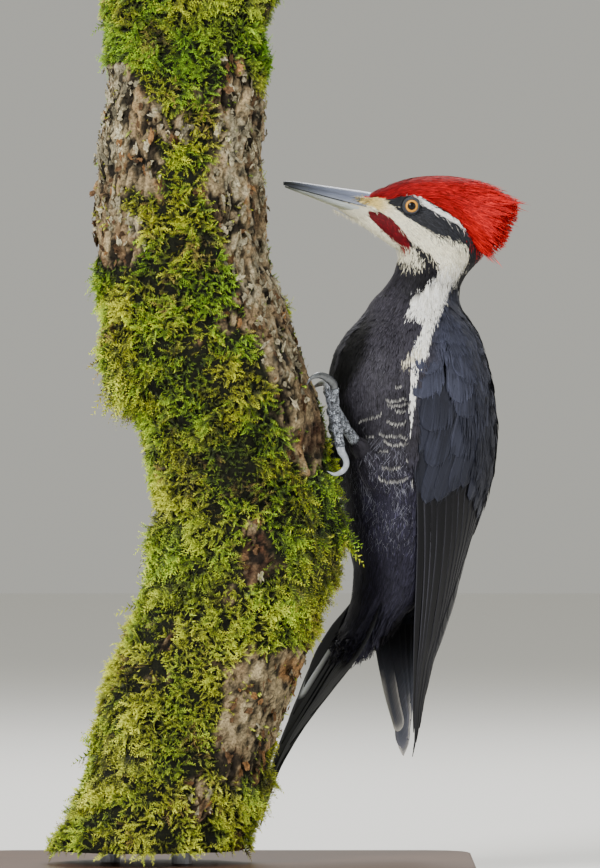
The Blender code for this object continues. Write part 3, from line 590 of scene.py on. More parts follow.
for name, keep, locks, close, lift, streaks, steps in (
    ("coat_face", contour & (side_z > 363), 8, 0.8, 0.2, 0.24, LOCK_STEPS),
    ("coat_neck", contour & (side_z <= 363) & (side_z > 330), 14, 0.85, 0.26, 0.26, LOCK_STEPS),
    ("coat_body", contour & (side_z <= 330), 16, 0.84, 0.22, 0.28, BODY_STEPS),
):
    roots = scattered(reach, reach_faces, measures[:, 2] * close, keep)
    length, breadth, _, deep = coat_at(roots)[1].T
    length = length * rng.uniform(0.85, 1.15, len(length))
    path, normal = followed(surface, roots, coat_lie, length, np.linspace(0, 1, 4))
    if name == "coat_body":  # the last of them hang free over the tail's root
        loose = eased(166, 152, roots[:, 2])[:, None, None]
        length *= 1 - 0.45 * loose[:, 0, 0]
        down = length[:, None] * np.linspace(0, 1, 4)
        straight = roots[:, None] + coat_lie(roots)[:, None] * down[..., None]
        path = path * (1 - loose) + straight * loose
    made = feathers(path, normal, length, breadth, np.minimum(deep, 3.4), locks, lift, 0.09,
                    by_lock, unwrapped(roots), streaks, steps=steps)
    if name == "coat_body":  # one lock in ten over the belly has a paler end
        tint = made[2].reshape(-1, LOCK_POINTS, 3)
        height = made[0][6::LOCK_POINTS, 2]
        pale = (rng.random(len(tint)) < 0.1) & (height < 262) & (height > 185)
        tint[pale, 2:] *= 2.2
    in_pieces(name, made)


def seen_from_front(x, z):
    """Places on the coat's surface at x and height, on the side that is turned to the front of the stand."""
    inward = Vector((0.0, 1.0, 0.0))
    found = [surface.ray_cast(Vector((a, -300.0, b)), inward)[0] for a, b in zip(x, z)]
    return np.array([tuple(point) for point in found if point is not None])


def ending_at(tips, length, swing):
    """Paths whose ends lie at the tips, with roots a length up the coat's lie, and their normals."""
    lie = -coat_lie(tips)
    normal = np.array([surface.find_nearest(Vector(p))[1] for p in tips], float)
    lie = lie + swing * unit(np.cross(lie, normal)) * rng.normal(0, 1, (len(tips), 1))
    share = np.linspace(1, 0, 4)
    path = tips[:, None] + lie[:, None] * (length[:, None] * share)[..., None]
    near = [[surface.find_nearest(Vector(p)) for p in row] for row in path]
    path = np.array([[tuple(f[0]) for f in row] for row in near])
    return path, np.array([[tuple(f[1]) for f in row] for row in near])


def bar_tint(points):
    """White for a lock's last part, fading into the dark of the rest of it."""
    bright = rng.uniform(0.3, 1.0, len(points) // 4) * (0.85 + 0.4 * noise(points[3::4], 3.0, 52))
    share = np.array([0.0, 0.0, 0.6, 1.0])[None] * bright[:, None].clip(0, 1)
    return (CHARCOAL + (WHITE - CHARCOAL) * share[..., None]).reshape(-1, 3)


# Each bar is a row of broken white ends, one short feather beside the next. Two slivers of the wing's white
# lining show at its front edge: their x and height.
WHITE_SLIVERS = ((112.4, 249.5), (113.2, 231.5))
bar_x, bar_z = [], []
for ax, az, bx, bz, sag in FLANK_BARS:
    count = int((bx - ax) / 0.55) + 1
    share = (np.arange(count) + 0.5) / count
    bar_x.append(ax + (bx - ax) * share + rng.normal(0, 0.12, count))
    bar_z.append(az + (bz - az) * share - 5 * sag * share * (1 - share) + rng.normal(0, 0.3, count))
for x, z in WHITE_SLIVERS:
    bar_x.append(x + rng.normal(0, 0.22, 9))
    bar_z.append(z + rng.uniform(-0.5, 3.5, 9))
tips = seen_from_front(np.concatenate(bar_x), np.concatenate(bar_z))
length = rng.uniform(5.0, 7.0, len(tips))
path, normal = ending_at(tips, length, 0.09)
path[:, 1:] += 0.55 * normal[:, 1:]
made = feathers(path, normal, length, 0.24, 2.6, 1, 0.7, 0.05, bar_tint, unwrapped(path[:, 0]), 0.1,
                steps=np.array([0.0, 0.6, 0.84, 1.0]))
in_pieces("coat_bars", made)

# The far wing's bend shows past the breast as a narrow fringe of paler feathers along the fold: x and height.
RIM = (
    (84.5, 334.0), (79.0, 328.0), (73.6, 320.6), (68.6, 312.6), (65.6, 304.0), (64.0, 296.0), (63.4, 288.0),
)
count = 150
share = rng.random(count) * (len(RIM) - 1)
rim_x, rim_z = (np.interp(share, np.arange(len(RIM)), part) for part in np.array(RIM).T)
tips = seen_from_front(rim_x + rng.uniform(0.3, 3.4, count), rim_z)
length = rng.uniform(7.0, 10.0, len(tips))
path, normal = ending_at(tips, length, 0.12)


def rim_tint(points):
    """Grey-brown, each lock its own shade."""
    return np.repeat(rgb("4d4c55") * rng.uniform(0.35, 1.2, (len(points) // 4, 1)), 4, axis=0)


made = feathers(path, normal, length, 3.0, 0.6, 7, 1.3, 0.12, rim_tint, unwrapped(path[:, 0]), 0.2)
in_pieces("coat_rim", made)

# Loose pale hairs lie over the breast and, more of them, over the belly.
count = 2300
x, z = rng.uniform(66, 116, count), rng.uniform(190, 330, count)
kept = rng.random(count) < 0.07 + 0.8 * eased(270, 240, z)
tips = seen_from_front(x[kept], z[kept])
tips = tips[(band(tips[:, 0], tips[:, 2], FOLD_SHADE) > 3) & (side_view(tips)[0] > 60)]
length = rng.uniform(6.0, 12.0, len(tips))
path, normal = ending_at(tips, length, 0.55)


def hair_tint(points):
    """Grey hairs, whitest round the leg."""
    white = 1 + 0.8 * np.exp(-(((points[::4, 2] - 244) / 15) ** 2))
    return np.repeat(rgb("62626c") * (rng.uniform(0.4, 1.6, len(white)) * white)[:, None], 4, axis=0)


made = feathers(path, normal, length, 0.12, 2.0, 1, 0.6, 0.1, hair_tint, unwrapped(path[:, 0]), 0.2)
in_pieces("coat_hairs", made)


def stray_tint(points):
    """Each stray hair keeps its root's colour to its end, so that it breaks the border that it crosses."""
    colour = marked(points.reshape(-1, 4, 3)[:, 0])
    dark = colour.max(axis=1, keepdims=True) < 0.2
    on_dark = rng.uniform(0.4, 2.8, (len(colour), 1))
    on_pale = rng.uniform(0.6, 1.04, (len(colour), 1))
    return np.repeat(colour * np.where(dark, on_dark, on_pale), 4, axis=0)


# Stray hairs over the face and neck roughen the borders between its markings.
tips = scattered(reach, reach_faces, np.full(len(reach), 1.15), contour & (side_z > 335))
line = band(*side_view(tips)[:2], CHEEK_LINE) < 0.6
tips = tips[~line | (rng.random(len(tips)) < 0.3)]
length = coat_at(tips)[1][:, 0] * rng.uniform(0.8, 1.3, len(tips))
path, normal = ending_at(tips, length, 0.26)
made = feathers(path, normal, length, 0.2, 0.9, 1, 0.45, 0.1, stray_tint, unwrapped(path[:, 0]), 0.1)
in_pieces("coat_face_hairs", made)

# ------------------------------------------------------------------ crest
# The red crown and crest: long loose silky feathers combed back from the forehead over the skull to a ragged
# point. Behind the skull they stand free of the nape.
# The lie of the crest: x, height and angle.
CREST_LIE = (
    (88, 402, 20), (96, 405, 24), (104, 408, 20), (113, 411, 6), (125, 413, -2), (140, 412, -9),
    (155, 407, -16), (168, 400, -14), (118, 405, -8), (128, 400, -24), (140, 394, -32), (150, 388, -40),
    (160, 390, -26), (164, 380, -34), (152, 378, -52), (158, 372, -50), (132, 408, -12), (146, 402, -20),
)
# How far back its feathers reach: height and x.
CREST_EDGE = (
    (362, 159.0), (369.9, 160.0), (375.8, 162.0), (383.5, 164.4), (392.4, 169.0), (398.8, 175.6),
    (400.6, 175.0), (404.0, 168.5), (411.6, 157.0), (416, 149.0),
)


def crest_lie(points):
    """Directions in which the crest lies."""
    x, z, _ = side_view(points)
    table = np.array(CREST_LIE, float)
    weight = 1 / ((x[:, None] - table[:, 0]) ** 2 + (z[:, None] - table[:, 1]) ** 2 + 6.0) ** 2
    angle = np.radians(weight @ table[:, 2] / weight.sum(axis=1))
    return np.stack([np.cos(angle), 0 * angle, np.sin(angle)], axis=1)


spacing = np.interp(side_x, (86, 110, 150, 175), (0.85, 1.05, 1.2, 1.2))
roots = scattered(reach, reach_faces, spacing, crested)
root_x = side_view(roots)[0]
length = np.interp(root_x, (88, 112, 140, 160, 175), (6.0, 11.0, 15.0, 16.0, 12.0))
length = length * rng.uniform(0.7, 1.2, len(roots))
path, normal = followed(surface, roots, crest_lie, length, np.linspace(0, 1, 5))
stray = rng.normal(0, 0.13, (len(roots), 1))
free = unit(crest_lie(roots) + 0.22 * normal[:, 0] * (1, 1, 0.4) + stray * (0, 0, 1))
ends = roots + free * length[:, None]
edge = np.interp(ends[:, 2], *np.array(CREST_EDGE).T) + rng.normal(-1.1, 2.0, len(roots))
short = np.clip((edge - roots[:, 0]) / np.maximum(ends[:, 0] - roots[:, 0], 0.1), 0.2, 1.0)
straight = roots[:, None] + free[:, None] * (length * short)[:, None, None] * np.linspace(0, 1, 5)[:, None]
loose = eased(136, 152, root_x)[:, None, None]
path = path * (1 - loose) + straight * loose
length = length * (1 - loose[:, 0, 0] * (1 - short))
breadth = np.interp(root_x, (88, 120, 150), (1.3, 1.9, 1.5))
deep = np.interp(root_x, (88, 112, 140), (0.8, 1.8, 2.4))


def crest_tint(points):
    """Deep crimson over the forehead, in strands, with painted highlights: brighter along the top, and
    brighter and warmer behind and below.
    """
    # Painted highlight: orange-red behind and below.
    warm = eased(140, 160, points[:, 0] + 0.4 * (400 - points[:, 2]))
    strand = np.repeat(rng.random(len(points) // 4), 4) ** 1.6
    front = eased(125, 100, points[:, 0])[:, None]
    # Painted highlight: the crest's top is painted brighter.
    ridge = eased(6.0, 1.0, abs(points[:, 1] - HEAD_Y)) * eased(402, 408, points[:, 2])
    colour = RED * ((0.42 + 0.85 * strand) * (1 + 0.6 * ridge))[:, None]
    colour = colour + (rgb("8a0a18") * (0.5 + strand)[:, None] - colour) * 0.6 * front
    return colour + (rgb("f41a10") - colour) * (warm * (0.1 + 0.45 * strand))[:, None]


points, faces, tint, patch = feathers(path, normal, length, breadth, deep, 6, 0.7, 0.16, crest_tint,
                                      unwrapped(roots), 0.3, 0.5)
# Painted light: the free-standing feathers behind are painted a little brighter.
tint = np.clip(tint.reshape(len(roots), -1, 3) * (1 + 0.12 * loose), 0, 1).reshape(-1, 3)
# Finer wisps stand off the crest behind.
WISPS = 600
some = rng.permutation(np.flatnonzero((root_x > 138) & (roots[:, 2] > 376)))[:WISPS]
wisps = feathers(path[some], normal[some], length[some], 0.9, deep[some], 3, 1.2, 0.3,
                 crest_tint, unwrapped(roots[some]), 0.3, 0.9)
in_pieces("coat_crest_wisps", wisps)
in_pieces("coat_crest", (points, faces, tint, patch))

# ------------------------------------------------------------------ wings
# Folded wings of closed vanes: overlapping coverts above, then long flight feathers whose tips step down to
# the wing's point. Each vane is one thin blade on a shaft, tilted so that it lies over its outer neighbour.
# The folded wing: height, then forward and left of its lower edge, its crown and its upper edge.
WING = (
    (71.5, 3.5, 6.2, 3.0, 6.1, 2.4, 5.8), (81, 5.2, 9.6, 2.6, 8.6, 0.0, 6.0),
    (92, 6.8, 12.8, 2.8, 10.8, -2.4, 7.0), (104, 8.7, 16.6, 2.6, 13.2, -4.2, 7.8),
    (116, 10.2, 19.8, 2.4, 15.6, -7.2, 8.2), (128, 11.8, 22.8, 1.4, 17.6, -10.2, 8.4),
    (139, 12.9, 25.2, 0.6, 20.4, -15.0, 8.4), (150, 13.6, 27.0, -1.6, 21.6, -19.4, 8.0),
    (165, 14.4, 29.6, -5.0, 24.2, -25.0, 8.0), (182, 15.4, 32.8, -9.6, 28.4, -29.2, 8.4),
    (200, 16.8, 36.6, -14.6, 33.6, -33.4, 9.0), (218, 18.4, 39.6, -18.6, 38.2, -39.4, 9.6),
    (240, 20.6, 42.4, -22.6, 42.2, -44.8, 10.2), (265, 23.6, 44.2, -24.0, 44.2, -47.2, 10.4),
    (294, 27.0, 42.4, -21.5, 44.4, -42.4, 10.4), (310, 26.5, 38.8, -18.5, 41.8, -37.8, 11.0),
    (322, 22.0, 34.4, -15.0, 38.2, -33.5, 14.0), (331, 15.5, 31.4, -10.0, 34.8, -26.0, 19.0),
    (337.5, 8.0, 27.0, -5.0, 30.4, -17.0, 22.6),
)
WRIST_OUT = 6.0  # the far wing's bend stands this far forward of the near one's
SHAFT = 0.39  # where a vane's shaft runs, as a share of its breadth
VANE_COLUMNS = np.array([0.0, 0.09, 0.34, SHAFT, 0.44, 0.86, 1.0])
VANE_RISE = np.array([0.0, 0.7, 1.0, 1.9, 1.0, 0.7, 0.0])  # of its upper face, in halves of its thickness
WING_SLATE, FLIGHT_BROWN, RIM_GREY = rgb("292b37"), rgb("0a0a0e"), rgb("4c4c54")
FAR_TIP_GREY, HEM_WHITE, HEM_GREY = rgb("565964"), rgb("d8d4cc"), rgb("787882")


def smooth_rows(table, at):
    """Rows of a table at places in its first column, on smooth curves through them."""
    table = np.array(table, float)
    if table[0, 0] > table[-1, 0]:
        table = table[::-1]
    places = table[:, 0]
    slopes = np.gradient(table, places, axis=0)
    i = np.clip(np.searchsorted(places, at) - 1, 0, len(places) - 2)
    span = (places[i + 1] - places[i])[..., None]
    t = np.clip((at[..., None] - places[i][..., None]) / span, 0, 1)
    start = (1 + 2 * t) * (1 - t) ** 2 * table[i] + t * (1 - t) ** 2 * span * slopes[i]
    return start + t * t * (3 - 2 * t) * table[i + 1] + t * t * (t - 1) * span * slopes[i + 1]


def placed(forward, left, height):
    """Points in world axes, from the body's own."""
    angle = math.radians(BODY_TURN)
    return np.stack([
        BODY_X - forward * math.cos(angle) + left * math.sin(angle),
        BODY_Y - forward * math.sin(angle) - left * math.cos(angle),
        height + 0 * forward,
    ], axis=-1)


def wing_at(side, height, share, out):
    """Points over a folded wing: share runs from its lower edge to its upper one, out stands off its face."""
    rows = smooth_rows(WING, height)
    bend = (WRIST_OUT if side < 0 else 0.0) * np.exp(-(((height - 318) / 22) ** 2))
    a = rows[..., 1] + bend + 1j * (rows[..., 2] - 0.2 * bend)
    b, c = rows[..., 3] + 1j * rows[..., 4], rows[..., 5] + 1j * rows[..., 6]
    w = (c - a) / (b - a)
    middle = (b - a) * (w - abs(w) ** 2) / (2j * w.imag) + a
    arm = (a - middle) * np.exp(1j * np.angle((c - middle) / (a - middle)) * share)
    point = middle + arm + out * arm / abs(arm)
    return placed(point.real, side * point.imag, height)


def wing_breadth(height):
    """How broad the folded wing is, round its curve from edge to edge."""
    rows = smooth_rows(WING, height)
    a, b, c = (rows[..., i] + 1j * rows[..., i + 1] for i in (1, 3, 5))
    return abs(b - a) + abs(c - b)


def tube_faces(rows, columns, joined=False):
    """Triangles over rows of points that are each a closed ring; the last row may be joined to the first."""
    i, j = np.meshgrid(np.arange(rows if joined else rows - 1), np.arange(columns), indexing="ij")
    after, beside = (i + 1) % rows * columns, (j + 1) % columns
    a, b, c, d = (part.ravel() for part in (i * columns + j, i * columns + beside, after + beside, after + j))
    return np.concatenate([np.stack([a, b, c], -1), np.stack([a, c, d], -1)])


def end_faces(rows, columns):
    """Triangles that close the two ends of such a tube."""
    starts = (0, (rows - 1) * columns)
    return np.array([(start, start + k, start + k + 1) for start in starts for k in range(1, columns - 1)])


def lengths_along(points):
    """How far along a line each of its points is."""
    return np.concatenate([[0], np.cumsum(np.linalg.norm(np.diff(points, axis=0), axis=1))])


def vane(at, height, lead, trail, out, thin, breadth):
    """One closed blade with a raised shaft: rows down its length, each from leading to trailing edge."""
    across = lead[:, None] + (trail - lead)[:, None] * VANE_COLUMNS
    rise = VANE_RISE * thin / 2
    tall = height[:, None] + 0 * across
    top = at(tall, across, out + rise)
    under = at(tall, across, out - np.minimum(rise, thin / 2))
    ring = np.concatenate([top, under[:, 5:0:-1]], axis=1)
    columns = np.concatenate([VANE_COLUMNS, VANE_COLUMNS[5:0:-1]])
    faces = np.concatenate([tube_faces(*ring.shape[:2]), end_faces(*ring.shape[:2])])
    away = abs((columns - SHAFT) * breadth[:, None])
    barbs = np.stack([lengths_along(ring[:, 3])[:, None] + 1.5 * away, away], axis=-1)
    return ring.reshape(-1, 3), faces, columns, barbs.reshape(-1, 2)


class Vanes:
    """Gathers vanes into one mesh, each with its own cell of the OFBake map."""

    def __init__(self, cells):
        self.cells, self.made, self.start = cells, [], 0

    def add(self, at, height, lead, trail, out, thin, breadth, colour, rim, root, shine=None, hem=None):
        """Adds a vane. Rim is the colour of its leading edge and tip, root how bright its root is."""
        points, faces, columns, barbs = vane(at, height, lead, trail, out, thin, breadth)
        t = np.linspace(0, 1, len(height))[:, None, None]
        c = columns[None, :, None]
        edge = np.exp(-((c / 0.05) ** 2)) * 0.8 + np.exp(-(((1 - t) / 0.02) ** 2)) * 0.35
        tint = colour * (root + (1 - root) * eased(0.2, 0.75, t)) + (rim - colour) * np.clip(edge, 0, 1)
        tint = np.where(abs(c - SHAFT) < 0.02, colour * 1.2, tint) * rng.uniform(0.84, 1.16)
        if shine is not None:  # painted highlight along the glossy shaft: its colour, where it starts and ends
            shade, start, end = shine
            painted_highlight = (c > 0.26) * (c < 0.46) * eased(start, start + 0.06, t) * eased(end + 0.04, end - 0.04, t)
            tint = tint + (shade - tint) * painted_highlight
        if hem is not None:  # a pale hem round the tip: its colour, and where it starts
            shade, start = hem
            border = np.exp(-((c / 0.12) ** 2)) + np.exp(-(((1 - c) / 0.12) ** 2))
            border = border * eased(start, start + 0.1, t) + np.exp(-(((1 - t) / 0.08) ** 2))
            tint = tint + (shade - tint) * np.clip(border, 0, 1)
        index = len(self.made)
        cell = np.array([index % self.cells, index // self.cells]) / self.cells
        spot = np.stack(np.broadcast_arrays(columns, t[..., 0]), axis=-1)
        patch = cell + (0.05 + 0.9 * spot) / self.cells
        self.made.append((points, faces + self.start, tint.reshape(-1, 3), patch.reshape(-1, 2), barbs))
        self.start += len(points)

    def build(self, name, look):
        points, faces, tint, patch, barbs = (np.concatenate(part) for part in zip(*self.made))
        made = piece(name, points, faces, look, np.clip(tint, 0, 1), patch, barbs)
        return made


def vane_finish(name, roughness, coat):
    """Closed vanes: barbs zipped into a smooth satin web, with fine slanting grooves."""
    made, tree, shader = finish_of(name, Roughness=roughness, Specular_IOR_Level=0.15, Sheen_Weight=0.02,
                                   Coat_Weight=coat, Coat_Roughness=0.35)
    tint = node(tree, "Attribute", {"attribute_name": "tint"})
    barbs = node(tree, "UVMap", {"uv_map": "barbs"})
    # Real barbs lie 0.3 mm apart; they are drawn at about 0.9 mm so that they show.
    drawn = node(tree, "Mapping", {"Scale": (1.1, 0.06, 1.0)}, {"Vector": barbs.outputs["UV"]})
    grain = node(tree, "TexNoise", {"Scale": 1.0, "Detail": 3.0}, {"Vector": drawn.outputs["Vector"]})
    spread = node(tree, "MapRange", {1: 0.3, 2: 0.7, 3: 0.78, 4: 1.22}, {0: grain.outputs["Fac"]})
    mixed = node(tree, "Mix", {"data_type": "RGBA", "blend_type": "MULTIPLY", 0: 1.0},
                 {6: tint.outputs["Color"], 7: spread.outputs[0]})
    tree.links.new(mixed.outputs[2], shader.inputs["Base Color"])
    bump = node(tree, "Bump", {"Strength": 0.35, "Distance": 0.0002}, {"Height": grain.outputs["Fac"]})
    tree.links.new(bump.outputs["Normal"], shader.inputs["Normal"])
    return made


wing_look = vane_finish("feather_vane", 0.5, 0.01)
# The flight feathers from the outermost in: height of the tip, its share across the wing, and breadth. The
# first nine are the primaries.
FLIGHT = (
    (86, 0.14, 9), (76, 0.38, 11), (71.5, 0.5, 12), (73.5, 0.6, 13), (80, 0.8, 13), (88.5, 0.96, 14),
    (98, 1.0, 15), (108.5, 1.0, 15), (119.5, 1.0, 16), (131, 1.0, 17), (136, 0.97, 19), (143, 0.97, 20),
    (152, 0.97, 20), (163, 0.96, 20), (176, 0.95, 20), (189, 0.92, 20),
)
PRIMARIES = 9
# Rows of coverts, each as its tips' heights and shares, then length, breadth, slant and brightness. The first
# row lies over the flight feathers, the last along the wing's lower edge.
COVERTS = (
    (((223, 0.06), (224.5, 0.16), (229, 0.27), (231, 0.36), (221.5, 0.46), (216.5, 0.57), (213.5, 0.68),
      (208.5, 0.79), (203, 0.91)), 60, 13.5, 0.20, 0.8),
    (((244, 0.12), (250, 0.30), (249, 0.50), (242, 0.70), (232, 0.88)), 36, 19.0, 0.12, 1.0),
    (((264, 0.14), (270, 0.36), (268, 0.60), (258, 0.84)), 32, 22.0, 0.08, 0.88),
    (((284, 0.10), (281, 0.32), (286, 0.56), (276, 0.82)), 32, 21.0, 0.06, 1.1),
    (((299, 0.18), (296, 0.42), (300, 0.68), (290, 0.92)), 30, 18.0, 0.04, 0.95),
    (((315, 0.25), (312, 0.54), (309, 0.82)), 26, 17.0, 0.02, 1.05),
    (((228, 0.0), (252, 0.0), (276, 0.01), (296, 0.03)), 50, 8.0, 0.05, 0.7),
)
LOWER_ROW = len(COVERTS) - 1
COVERT_LOCKS = 26
COVERT_PAINTED_LIGHT = (240, 285, 312), (0.95, 1.7, 2.2)  # painted light, paler towards the shoulder: height, share


def covert_tint(points):
    """The coverts' slate, each lock its own shade, darker at its root as painted shade under the covert
    above, and paler just before its end.
    """
    # Painted shade at each lock's root; its paler end is the feather's own.
    lock = rng.uniform(0.78, 1.2, (len(points) // 4, 1)) * np.array([0.8, 0.9, 1.0, 1.35])
    return WING_SLATE * lock.reshape(-1, 1)


for word, side in (("left", 1), ("right", -1)):
    wing = Vanes(14)
    covert_path, covert_normal, covert_long, covert_wide, covert_shade = [], [], [], [], []

    def over_wing(height, share, out):
        # The far wing's point is broader.
        spread = 1 + (1.5 * np.clip((88 - height) / 15, 0, 1) ** 1.5 if side < 0 else 0)
        return wing_at(side, height, 0.5 + spread * (np.clip(share, -0.02, 1.06) - 0.5), out)

    for i, (tip, tip_share, breadth) in enumerate(FLIGHT):
        # The rows are closer towards the tips, above all those of the far wing, which show their whole shape.
        t = np.linspace(0, 1, 34) ** 0.8 if side > 0 else 1 - np.linspace(1, 0, 34) ** 1.7
        root, root_share = 268.0 - 0.6 * i, 0.05 + 0.88 * i / (len(FLIGHT) - 1)
        height = root + (tip - root) * t
        share = root_share + (tip_share - root_share) * eased(0.15, 1.0, t)
        pointed = 0.13  # the share of its length over which it tapers to its tip
        if i < PRIMARIES:
            pointed = 0.34 if side > 0 else 0.045
        shape = np.sqrt(np.clip(1 - ((t - (1 - pointed)) / pointed).clip(0, 1) ** 1.8, 0.0004, 1))
        room = wing_breadth(height)
        wide = np.minimum(breadth * shape, 0.9 * room * shape) / room
        lead = share - SHAFT * wide - 0.10 * (share - 0.5) * eased(0.6, 1, t)
        lead = np.where(tip_share >= 0.9, np.minimum(lead, 1.0 - wide * 0.62), lead)
        trail = lead + wide
        tilt = (0.5 - VANE_COLUMNS) * np.minimum(1, wide / 0.3)[:, None]
        out = -0.5 + tilt + 0.35 * eased(0.75, 1, t)[:, None] * (i / len(FLIGHT))
        rim = RIM_GREY * np.interp(i, (0, 6, 12), (1.0, 0.75, 0.3))
        shade, hem = FLIGHT_BROWN, None
        if side < 0:  # the far wing shows the paler undersides of its tips
            shade = FLIGHT_BROWN + (FAR_TIP_GREY - FLIGHT_BROWN) * eased(145, 95, height)[:, None, None]
            hem = (HEM_WHITE if i in (0, 2, 5) else HEM_GREY, 0.6)
        wing.add(over_wing, height, lead, trail, out, 0.42, wide * room, shade, rim, 0.8, hem=hem)
    for level, (tips, long, breadth, slant, bright) in enumerate(COVERTS):
        for tip, tip_share in tips:
            t = np.linspace(0, 1, 16) ** 0.85
            tip = tip + rng.normal(0, 1.0)
            long_here = min(long * rng.uniform(0.92, 1.08), 338 - tip)  # none passes the wing's bend
            height = tip + long_here * (1 - t)
            share = tip_share + slant * (1 - t) + rng.normal(0, 0.012)
            pointed = 0.28 if level in (0, LOWER_ROW) else 0.42
            shape = np.sqrt(np.clip(1 - ((t - (1 - pointed)) / pointed).clip(0, 1) ** 2.2, 0.003, 1))
            wide = breadth * (shape * (0.7 + 0.3 * t)) / wing_breadth(height)
            lead = np.maximum(share - 0.45 * wide, 0.03)
            row_out = -0.2 if level == LOWER_ROW else 0.12 * level  # each row lies over the one below it
            out = 0.1 + 0.55 * t[:, None] + 0.3 * (0.5 - VANE_COLUMNS) + row_out
            # The covert's slate, with painted light that makes it paler towards the shoulder.
            colour = WING_SLATE * bright * rng.uniform(0.88, 1.12) * np.interp(tip, *COVERT_PAINTED_LIGHT)
            wing.add(over_wing, height, lead, lead + wide, out, 0.24, wide * wing_breadth(height), colour,
                     colour * 1.15, 0.7)
            # The covert's own loose barbs, combed over its blade and a little past its end.
            along = np.linspace(0, 1, 5)
            height = tip - 0.8 + long_here * (1 - along)
            share = np.maximum(tip_share + slant * (1 - along), 0.03) + 0.05 * breadth / wing_breadth(height)
            covert_path.append(over_wing(height, share, 0.75 + row_out))
            covert_normal.append(unit(over_wing(height, share, 0.75 + row_out + 1.0) - covert_path[-1]))
            covert_long.append(long_here)
            covert_wide.append(breadth * 0.98)
            covert_shade.append(colour)
    made = wing.build(f"wing_{word}_feathers", wing_look)
    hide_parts(f"wing_{word}")
    path, normal, length, breadth = (
        np.array(part) for part in (covert_path, covert_normal, covert_long, covert_wide)
    )
    points, faces, tint, patch = feathers(
        path, normal, length, breadth, 0.9, COVERT_LOCKS, 0.15, 0.02, covert_tint,
        unwrapped(path[:, 0]), 0.12, 0.5, np.array([0.0, 0.5, 0.88, 1.0]),
    )
    shades = np.repeat(np.array(covert_shade) / WING_SLATE, COVERT_LOCKS * LOCK_POINTS, axis=0)
    in_pieces(f"coat_coverts_{word}", (points, faces, np.clip(tint * shades, 0, 1), patch))
    # The folded wing's own body, under the vanes, so that no gap between them shows through.
    points, faces = remeshed((f"wing_{word}",), 1.6, 2, -0.8)
    # Painted shade: the web is the slate darkened to a third, as the gaps between the vanes lie in shade.
    shade = np.tile(WING_SLATE * 0.35, (len(points), 1))
    if side < 0:  # the far wing's tips are seen from beneath, so nothing covers them there
        faces = faces[points[faces][:, :, 2].mean(axis=1) > 150]
        used, faces = np.unique(faces, return_inverse=True)
        points, faces, shade = points[used], faces.reshape(-1, 3), shade[used]
    web = piece(f"wing_{word}_web", points, faces, feather_look, shade, unwrapped(points))

# ------------------------------------------------------------------ mantle, shoulders and flanks
# Long loose feathers that lie over the wings' edges: the back and shoulders over the wing's upper edge and
# bend, the white neck tufts over its front, and the far flank up to the far wing's rim.
# Where they begin: the mantle's edge, the far flank's outline, and the neck's front, behind which the far
# shoulder stays. Each is height and x.
MANTLE_EDGE = (
    (225, 176), (236, 153.4), (250.8, 151), (271.4, 147.5), (295, 142.8), (312.7, 136.9), (330.4, 128),
    (352, 108),
)
FAR_OUTLINE = (
    (170, 78), (200, 75), (224, 72.6), (242, 70.8), (265, 66), (283, 64.3), (301, 64.6), (318, 73), (337, 86),
    (352, 92),
)
NECK_FRONT = ((326, 60), (334, 84.0), (338, 90.0), (342, 92.5), (346, 96.0), (350, 99.7), (354, 103.0))
over, over_faces = remeshed(("neck", "trunk", "wing_left", "wing_right"), 1.5, 4, 2.2)
behind_neck = np.maximum(over[:, 0], np.interp(over[:, 2], *np.array(NECK_FRONT).T))
over[:, 0] = np.where(side_view(over)[2] < 0, behind_neck, over[:, 0])
over_normals = normals_of(over, over_faces)
over_tree = BVHTree.FromPolygons([Vector(p) for p in over], over_faces.tolist())
x, z, left = side_view(over)
belly_way = math.radians(BODY_TURN)
ahead = -over_normals[:, 0] * math.cos(belly_way) - over_normals[:, 1] * math.sin(belly_way)
off_body = np.array([surface.find_nearest(Vector(p))[3] for p in over])
whitish = marked(over).max(axis=1) > 0.3
mantle = (x > np.interp(z, *np.array(MANTLE_EDGE).T)) & (z > 230) & (z < 350) & ~whitish
shoulder = (z > 314) & (z < 350) & (off_body > 3.4)
tufts = (left > 0) & (over_normals[:, 1] < 0.2) & (z > 250) & (z < 345)
tufts &= x > np.interp(z, (292, 300), (110.6, 106))
tufts &= x < np.interp(z, (255, 298, 306, 318, 330, 345), (117, 118, 122, 126, 130, 134))
tufts |= (left > 0) & whitish & (z > 300) & (z < 354)
far = (left < 0) & (ahead > 0.1) & (z > 172) & (z < 345) & (off_body > 3.0)
far &= over[:, 0] > np.interp(z, *np.array(FAR_OUTLINE).T) + np.interp(z, (296, 306), (0.0, 4.0))


def mantle_tint(points):
    """The wing's own slate, streaked, where the marks are dark, with painted shade at each lock's root and
    painted light towards the shoulder.
    """
    colour = by_lock(points)
    dark = colour.max(axis=1) < 0.1
    # Painted shade: each lock darker at its root, under the feather above.
    lock = rng.uniform(0.75, 1.2, (len(points) // 4, 1)) * np.array([0.8, 0.9, 1.0, 1.3])
    slate = WING_SLATE * lock.reshape(-1, 1) * np.interp(points[:, 2], *COVERT_PAINTED_LIGHT)[:, None]
    share = (dark * eased(120, 134, side_view(points)[0]))[:, None]
    return colour + (slate - colour) * share


